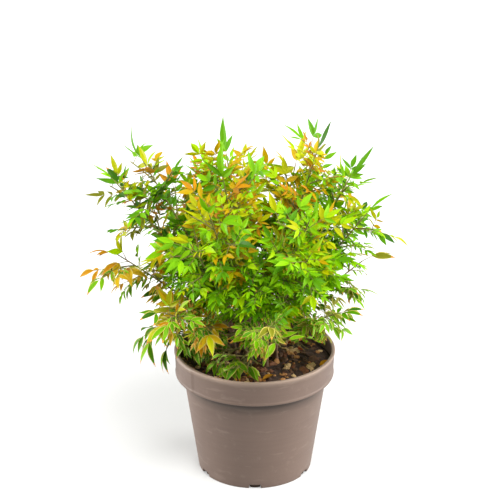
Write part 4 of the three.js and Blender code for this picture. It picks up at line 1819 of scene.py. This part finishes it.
def leaves_mesh(name, baskets):
    leaflets = [leaflet for basket in baskets for leaflet in basket.leaflets]
    return LEAFLETS.apply(leaflet_bed(name + "_bed", leaflets), name)


LEAFLETS = leaflet_rule(BLADES)
pieces_by_ring("leaves", leaves_mesh)

# %% [markdown]
# ## Fallen leaflets
#
# A few dry leaflets have dropped on the mix. They are the same blades, laid down flat on the mound at the
# golden angle from each other, in the tints of dying leaves.

# %% Fallen leaflets
FALLEN = Bundle(
    key=7, count=10, near=46, far=98, first=20, turn=137.5, length=24, vary=0.3, lift=3.5, tilt=10,
    roll=0.4,
)
DRY_TINTS = ("rust", "amber", "bronze", "gold")


def fallen_leaflet(i):
    keys = (FALLEN.key, i)
    from_axis = FALLEN.near + (FALLEN.far - FALLEN.near) * chance(*keys, 1)
    spot = direction(FALLEN.turn * i + FALLEN.first, 0) * from_axis
    spot.z = mound_height(spot.x * MM, spot.y * MM) / MM + FALLEN.lift
    way = direction(360 * chance(*keys, 2), FALLEN.tilt * sway(*keys, 3))
    leaflet = Bundle(root=spot, way=way, tip=i % 2)
    leaflet.face = turned(square_to(UP, way), way, FALLEN.roll * sway(*keys, 4))
    leaflet.length = FALLEN.length * (1 + FALLEN.vary * sway(*keys, 5))
    leaflet.kind = SHORT_KINDS[i % len(SHORT_KINDS)]
    leaflet.tint = TINT_NAMES.index(DRY_TINTS[i % len(DRY_TINTS)])
    return leaflet


FALLEN_BED = leaflet_bed("fallen_bed", [fallen_leaflet(i) for i in range(FALLEN.count)])
piece_from(LEAFLETS.apply(FALLEN_BED, "fallen_leaflets"), [])

# %% [markdown]
# ## Twigs
#
# Twigs are thin tubes that follow the lines of growth. Geometry Nodes sweep them: a line of edges that
# carries a radius at each point becomes a curve, and Curve to Mesh runs a small circle along it.

# %% Twig rule


def twig_rule(material):
    rule = Rule("sweep twigs", Sides=5)
    lines, sides = rule.entry.outputs[:2]
    curve = rule.add("GeometryNodeMeshToCurve", None, {0: lines})
    circle_sockets = {"Resolution": sides, "Radius": 1.0}
    profile = rule.add("GeometryNodeCurvePrimitiveCircle", None, circle_sockets)
    thick = rule.attribute("thick", "FLOAT")
    sockets = {"Curve": curve, "Profile Curve": profile, "Scale": thick, "Fill Caps": True}
    tube = rule.add("GeometryNodeCurveToMesh", None, sockets)
    rule.end(rule.painted(rule.made_real(tube), material))
    return rule


def twig_lines(name, twigs):
    points, edges, thick = [], [], []
    for path, radius, tip, steps in twigs:
        for step in range(steps + 1):
            if step:
                edges.append((len(points) - 1, len(points)))
            points.append(path.at(step / steps) * MM)
            thick.append((radius + (tip - radius) * step / steps) * MM)
    lines = bpy.data.meshes.new(name)
    lines.from_pydata([tuple(p) for p in points], edges, [])
    note(lines, "thick", "FLOAT", "POINT", thick)
    return lines


def twigs_mesh(name, baskets):
    twigs = [twig for basket in baskets for twig in basket.twigs]
    return TWIGS.apply(twig_lines(name + "_lines", twigs), name)


TWIGS = twig_rule(bark("twig skin", (72, 74, 26), (128, 128, 50), (132, 72, 46)))
pieces_by_ring("twigs", twigs_mesh)

# %% [markdown]
